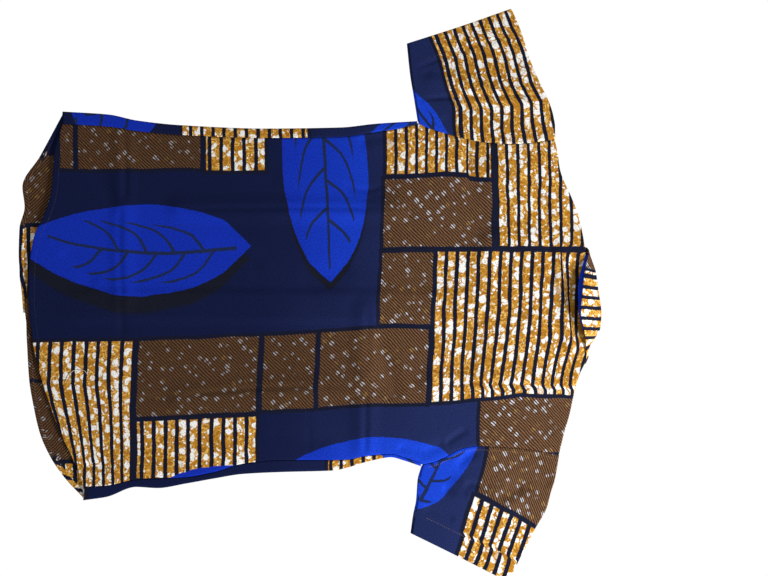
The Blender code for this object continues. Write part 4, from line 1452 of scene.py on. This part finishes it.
def stitch_line(points, height, pitch):
    """Points and faces of a row of small raised stitches along a line on the cloth."""
    points = np.asarray(points, float)
    lengths = running_length(points)
    length = pitch * STITCH_LENGTH / STITCH_PITCH
    starts = np.arange(pitch / 2, lengths[-1] - length, pitch)
    places = []
    faces = []
    for start in starts:
        ends = [np.array([np.interp(s, lengths, points[:, axis]) for axis in range(3)])
                for s in (start, start + length)]
        run = unit(ends[1] - ends[0])
        side = unit(np.array((-run[1], run[0], 0.0))) * STITCH_WIDTH / 2
        up = np.array((0.0, 0.0, height))
        middle = (ends[0] + ends[1]) / 2
        base = len(places)
        places += [ends[0], ends[1], middle + side, middle - side, middle + up]
        faces += [(base, base + 3, base + 4), (base + 3, base + 1, base + 4)]
        faces += [(base + 1, base + 2, base + 4), (base + 2, base, base + 4)]
    return places, faces


def stitches(name, lines, material, height=STITCH_HEIGHT, pitch=STITCH_PITCH):
    """One object of all the stitches of a piece."""
    places = []
    faces = []
    for line in lines:
        line_places, line_faces = stitch_line(line, height, pitch)
        base = len(places)
        places += line_places
        faces += [tuple(corner + base for corner in face) for face in line_faces]
    item = plain_object(name, places, faces, material, smooth=False)
    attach(item, BODY)


def on_surface(plan, level, above=HALF_SHELL):
    """Plan points lifted onto the outer face of a layer."""
    plan = np.asarray(plan, float)
    return raised(plan, level(plan) + above)


def beside(points, distance):
    """A plan line moved aside by a distance, to the left of its run."""
    run = unit(np.gradient(np.asarray(points, float), axis=0))
    return points + np.column_stack((-run[:, 1], run[:, 0])) * distance


def button_body(index, along, material):
    """One button, dish side down."""
    places = []
    for wide, high in BUTTON_PROFILE:
        radius = BUTTON_RADIUS * wide
        level = BUTTON_THICKNESS * (1 - high)
        for corner in range(BUTTON_SIDES):
            angle = 2 * math.pi * corner / BUTTON_SIDES
            places.append((along + radius * math.cos(angle), CENTRE + radius * math.sin(angle), level))
    faces = grid_faces(len(BUTTON_PROFILE), BUTTON_SIDES, True).tolist()
    item = plain_object(f"shirt_button_{index + 1}", places, faces, material)
    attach(item, BODY)
    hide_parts(f"button_{index + 1}")


def button_thread(index, along, material):
    """The two bars of thread in one button's dish."""
    level = BUTTON_THICKNESS * THREAD_LEVEL
    places = []
    faces = []
    for aside in (-THREAD_ASIDE, THREAD_ASIDE):
        base = len(places)
        for end in (along - THREAD_LENGTH / 2, along + THREAD_LENGTH / 2):
            places += [(end, CENTRE + aside + across, level + deep) for across, deep in THREAD_BAR]
        faces += (grid_faces(2, len(THREAD_BAR), True) + base).tolist()
        faces += [(base, base + 1, base + 2, base + 3), (base + 4, base + 5, base + 6, base + 7)]
    thread = plain_object(f"button_thread_{index + 1}", places, faces, material, smooth=False)
    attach(thread, BODY)


def camera():
    """The camera straight above, as in the photo."""
    data = bpy.data.cameras.new("camera")
    data.sensor_width = SENSOR
    data.lens = SENSOR * CAMERA_HEIGHT / (PIXEL * PHOTO_SIZE[0])
    data.clip_end = 10
    item = bpy.data.objects.new("camera", data)
    item.location = (CAMERA_CENTRE[0] * MM, CAMERA_CENTRE[1] * MM, (CAMERA_HEIGHT + TOP_LEVEL) * MM)
    bpy.context.scene.collection.objects.link(item)
    bpy.context.scene.camera = item


def lamp(name, place, size, power):
    """One square area light aimed at the middle of the shirt."""
    data = bpy.data.lights.new(name, "AREA")
    data.size = size
    data.energy = power
    item = bpy.data.objects.new(name, data)
    item.location = place
    item.rotation_euler = (Vector(LIGHT_AIM) - Vector(place)).to_track_quat("-Z", "Y").to_euler()
    bpy.context.scene.collection.objects.link(item)


def stage():
    """White floor, pale surroundings and soft lights."""
    bpy.ops.mesh.primitive_plane_add(size=FLOOR_SIZE, location=(0, 0, 0))
    floor = bpy.context.active_object
    floor.name = "floor"
    white = plain_material("floor_white", (0.0, 0.0, 0.0), 1.0)
    shader = white.node_tree.nodes["Principled BSDF"]
    shader.inputs["Specular IOR Level"].default_value = 0
    shader.inputs["Emission Color"].default_value = (1, 1, 1, 1)
    shader.inputs["Emission Strength"].default_value = FLOOR_GLOW
    floor.data.materials.append(white)
    world = bpy.data.worlds.new("pale_room")
    world.use_nodes = True
    back = world.node_tree.nodes["Background"]
    back.inputs["Color"].default_value = (1, 1, 1, 1)
    back.inputs["Strength"].default_value = WORLD_STRENGTH
    bpy.context.scene.world = world
    lamp("key", *KEY_LIGHT)
    lamp("fill", *FILL_LIGHT)
    bpy.context.scene.view_settings.view_transform = "Standard"
    bpy.context.scene.view_settings.look = "None"


def right_front_height(place):
    """Mid level of the right front's lower layer."""
    return lower_height(place) + right_overlap(place)


def seam_row(outline, row, level, above=HALF_SHELL):
    """A row of stitching beside a stretch of an outline, on the face of a layer."""
    first, last, count, aside = row
    line = curve_points(outline, np.linspace(first, last, count))
    return on_surface(beside(line, aside), level, above)


def seams_and_hems(gold, dark):
    """Rows of stitching that show on the seams and hems."""
    hem_top = HALF_SHELL + 2 * HEM_RADIUS
    back_hem = seam_row(BACK_HEM, BACK_HEM_ROW, upper_height)
    left_armhole = seam_row(LEFT_ARMHOLE, LEFT_ARMHOLE_ROW, upper_height)
    right_armhole = seam_row(RIGHT_ARMHOLE, RIGHT_ARMHOLE_ROW, upper_height)
    left_hem = seam_row(LEFT_FRONT_HEM, LEFT_HEM_ROW, lower_height, hem_top)
    right_hem = seam_row(RIGHT_FRONT_HEM, RIGHT_HEM_ROW, right_front_height, hem_top)
    left_cuff = seam_row(LEFT_CUFF, LEFT_CUFF_ROW, upper_height)
    right_cuff = seam_row(RIGHT_CUFF, RIGHT_CUFF_ROW, upper_height)
    stitches("stitches_back", (back_hem, left_armhole), dark)
    stitches("stitches_armhole_right", (right_armhole,), gold)
    stitches("stitches_front_left", (left_hem,), dark)
    stitches("stitches_front_right", (right_hem,), dark)
    stitches("stitches_cuff_left", (left_cuff,), dark)
    stitches("stitches_cuff_right", (right_cuff,), gold)


def stitches_below(dark):
    """Stitching on the outside of the fronts: hems, front edge and buttonholes."""
    along = np.linspace(*PLACKET_ENDS, PLACKET_POINTS)
    lines = [seam_row(LEFT_FRONT_HEM, LEFT_HEM_ROW, lower_height, -HALF_SHELL)]
    for aside in PLACKET_STITCHES:
        edge = np.column_stack((along, np.full(len(along), CENTRE + aside)))
        lines.append(on_surface(edge, lower_height, -HALF_SHELL))
    lines.append(seam_row(RIGHT_FRONT_HEM, RIGHT_HEM_BELOW, right_front_height, -HALF_SHELL))
    stitches("stitches_below", lines, dark, BELOW_HEIGHT)
    holes = []
    for index in range(BUTTON_COUNT):
        middle = BUTTON_FIRST - BUTTON_PITCH * index
        for aside in (-BUTTONHOLE_ASIDE, BUTTONHOLE_ASIDE):
            ends = [(middle + end * BUTTONHOLE / 2, CENTRE + aside) for end in (-1, 1)]
            holes.append(on_surface(ends, lower_height, -HALF_SHELL))
    stitches("buttonholes", holes, dark, BELOW_HEIGHT, BUTTONHOLE_PITCH)


def loose_thread(material):
    """A loose end of thread that lies on the back near the hem."""
    line = curve_points(LOOSE_THREAD, np.linspace(0, 1, THREAD_POINTS))
    path = raised(line, upper_height(line) + HALF_SHELL + THREAD_RADIUS)
    run = unit(np.gradient(path, axis=0))
    side = unit(np.cross(run, np.array((0.0, 0.0, 1.0))))
    up = np.cross(side, run)
    corners = [path + (side * math.cos(angle) + up * math.sin(angle)) * THREAD_RADIUS
               for angle in np.linspace(0, 2 * math.pi, THREAD_SIDES, endpoint=False)]
    places = np.stack(corners, axis=1)
    faces = grid_faces(len(line), THREAD_SIDES, True)
    item = plain_object("loose_thread", places.reshape(-1, 3), faces.tolist(), material)
    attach(item, BODY)


def dress_panels():
    """The back, both fronts and both sleeves."""
    back = printed_material("print_back", BACK_BLOCKS, BACK_LEAVES, 1)
    left = printed_material("print_front_left", LEFT_FRONT_BLOCKS, LEFT_FRONT_LEAVES, -1)
    right = printed_material("print_front_right", RIGHT_FRONT_BLOCKS, RIGHT_FRONT_LEAVES, -1)
    left_sleeve = printed_material("print_sleeve_left", LEFT_SLEEVE_BLOCKS, LEFT_SLEEVE_LEAVES, 1)
    right_sleeve = printed_material("print_sleeve_right", RIGHT_SLEEVE_BLOCKS, RIGHT_SLEEVE_LEAVES, 1)
    cloth("back_cloth", *back_grid(), back_print, back, "back", "back")
    grid = front_grid(LEFT_SIDE, LEFT_ARMHOLE, LEFT_FRONT_HEM, LEFT_FRONT_COLUMNS, LEFT_FIXED, left_overlap)
    cloth("front_left_cloth", *grid, same_print, left, "front", "front_left")
    grid = front_grid(
        RIGHT_SIDE, RIGHT_ARMHOLE, RIGHT_FRONT_HEM, RIGHT_FRONT_COLUMNS, RIGHT_FIXED, right_overlap)
    cloth("front_right_cloth", *grid, same_print, right, "front", "front_right")
    grid = sleeve_grid(LEFT_ARMHOLE, LEFT_SLEEVE_UNDERARM, LEFT_SLEEVE_SHOULDER, LEFT_CUFF, 1)
    cloth("sleeve_left_cloth", *grid, left_sleeve_print, left_sleeve, "sleeve", "sleeve_left", closed=True)
    grid = sleeve_grid(RIGHT_ARMHOLE, RIGHT_SLEEVE_UNDERARM, RIGHT_SLEEVE_SHOULDER, RIGHT_CUFF, -1)
    cloth("sleeve_right_cloth", *grid, right_sleeve_print, right_sleeve, "sleeve", "sleeve_right",
          closed=True)


def dress_collar():
    """The collar's stand and its fall."""
    stand, fall = collar_grids()
    # The stand's blue is painted brighter to offset the shade under the fall.
    royal = plain_cloth("royal_stand", ROYAL_STAND_PAINTED_LIT)
    striped = printed_material("print_fall", FALL_BLOCKS, (), 1)
    cloth("collar_stand_cloth", stand, strip_flat(stand, 0), same_print, royal, "stand", "collar_stand")
    flat = strip_flat(fall, TURN_STEPS // 2)
    cloth("collar_fall_cloth", fall, flat, same_print, striped, "fall", "collar_fall")


def main():
    """Dress the whole shirt."""
    dress_panels()
    dress_collar()
    gold_thread = plain_material("thread_gold", *GOLD_THREAD)
    dark_thread = plain_material("thread_dark", *DARK_THREAD)
    button_material = plain_material("button_dark", *DARK_BUTTON)
    seams_and_hems(gold_thread, dark_thread)
    stitches_below(dark_thread)
    loose_thread(plain_material("thread_pale", *PALE_THREAD))
    for index in range(BUTTON_COUNT):
        along = BUTTON_FIRST - BUTTON_PITCH * index
        button_body(index, along, button_material)
        button_thread(index, along, dark_thread)
    stage()
    camera()


main()
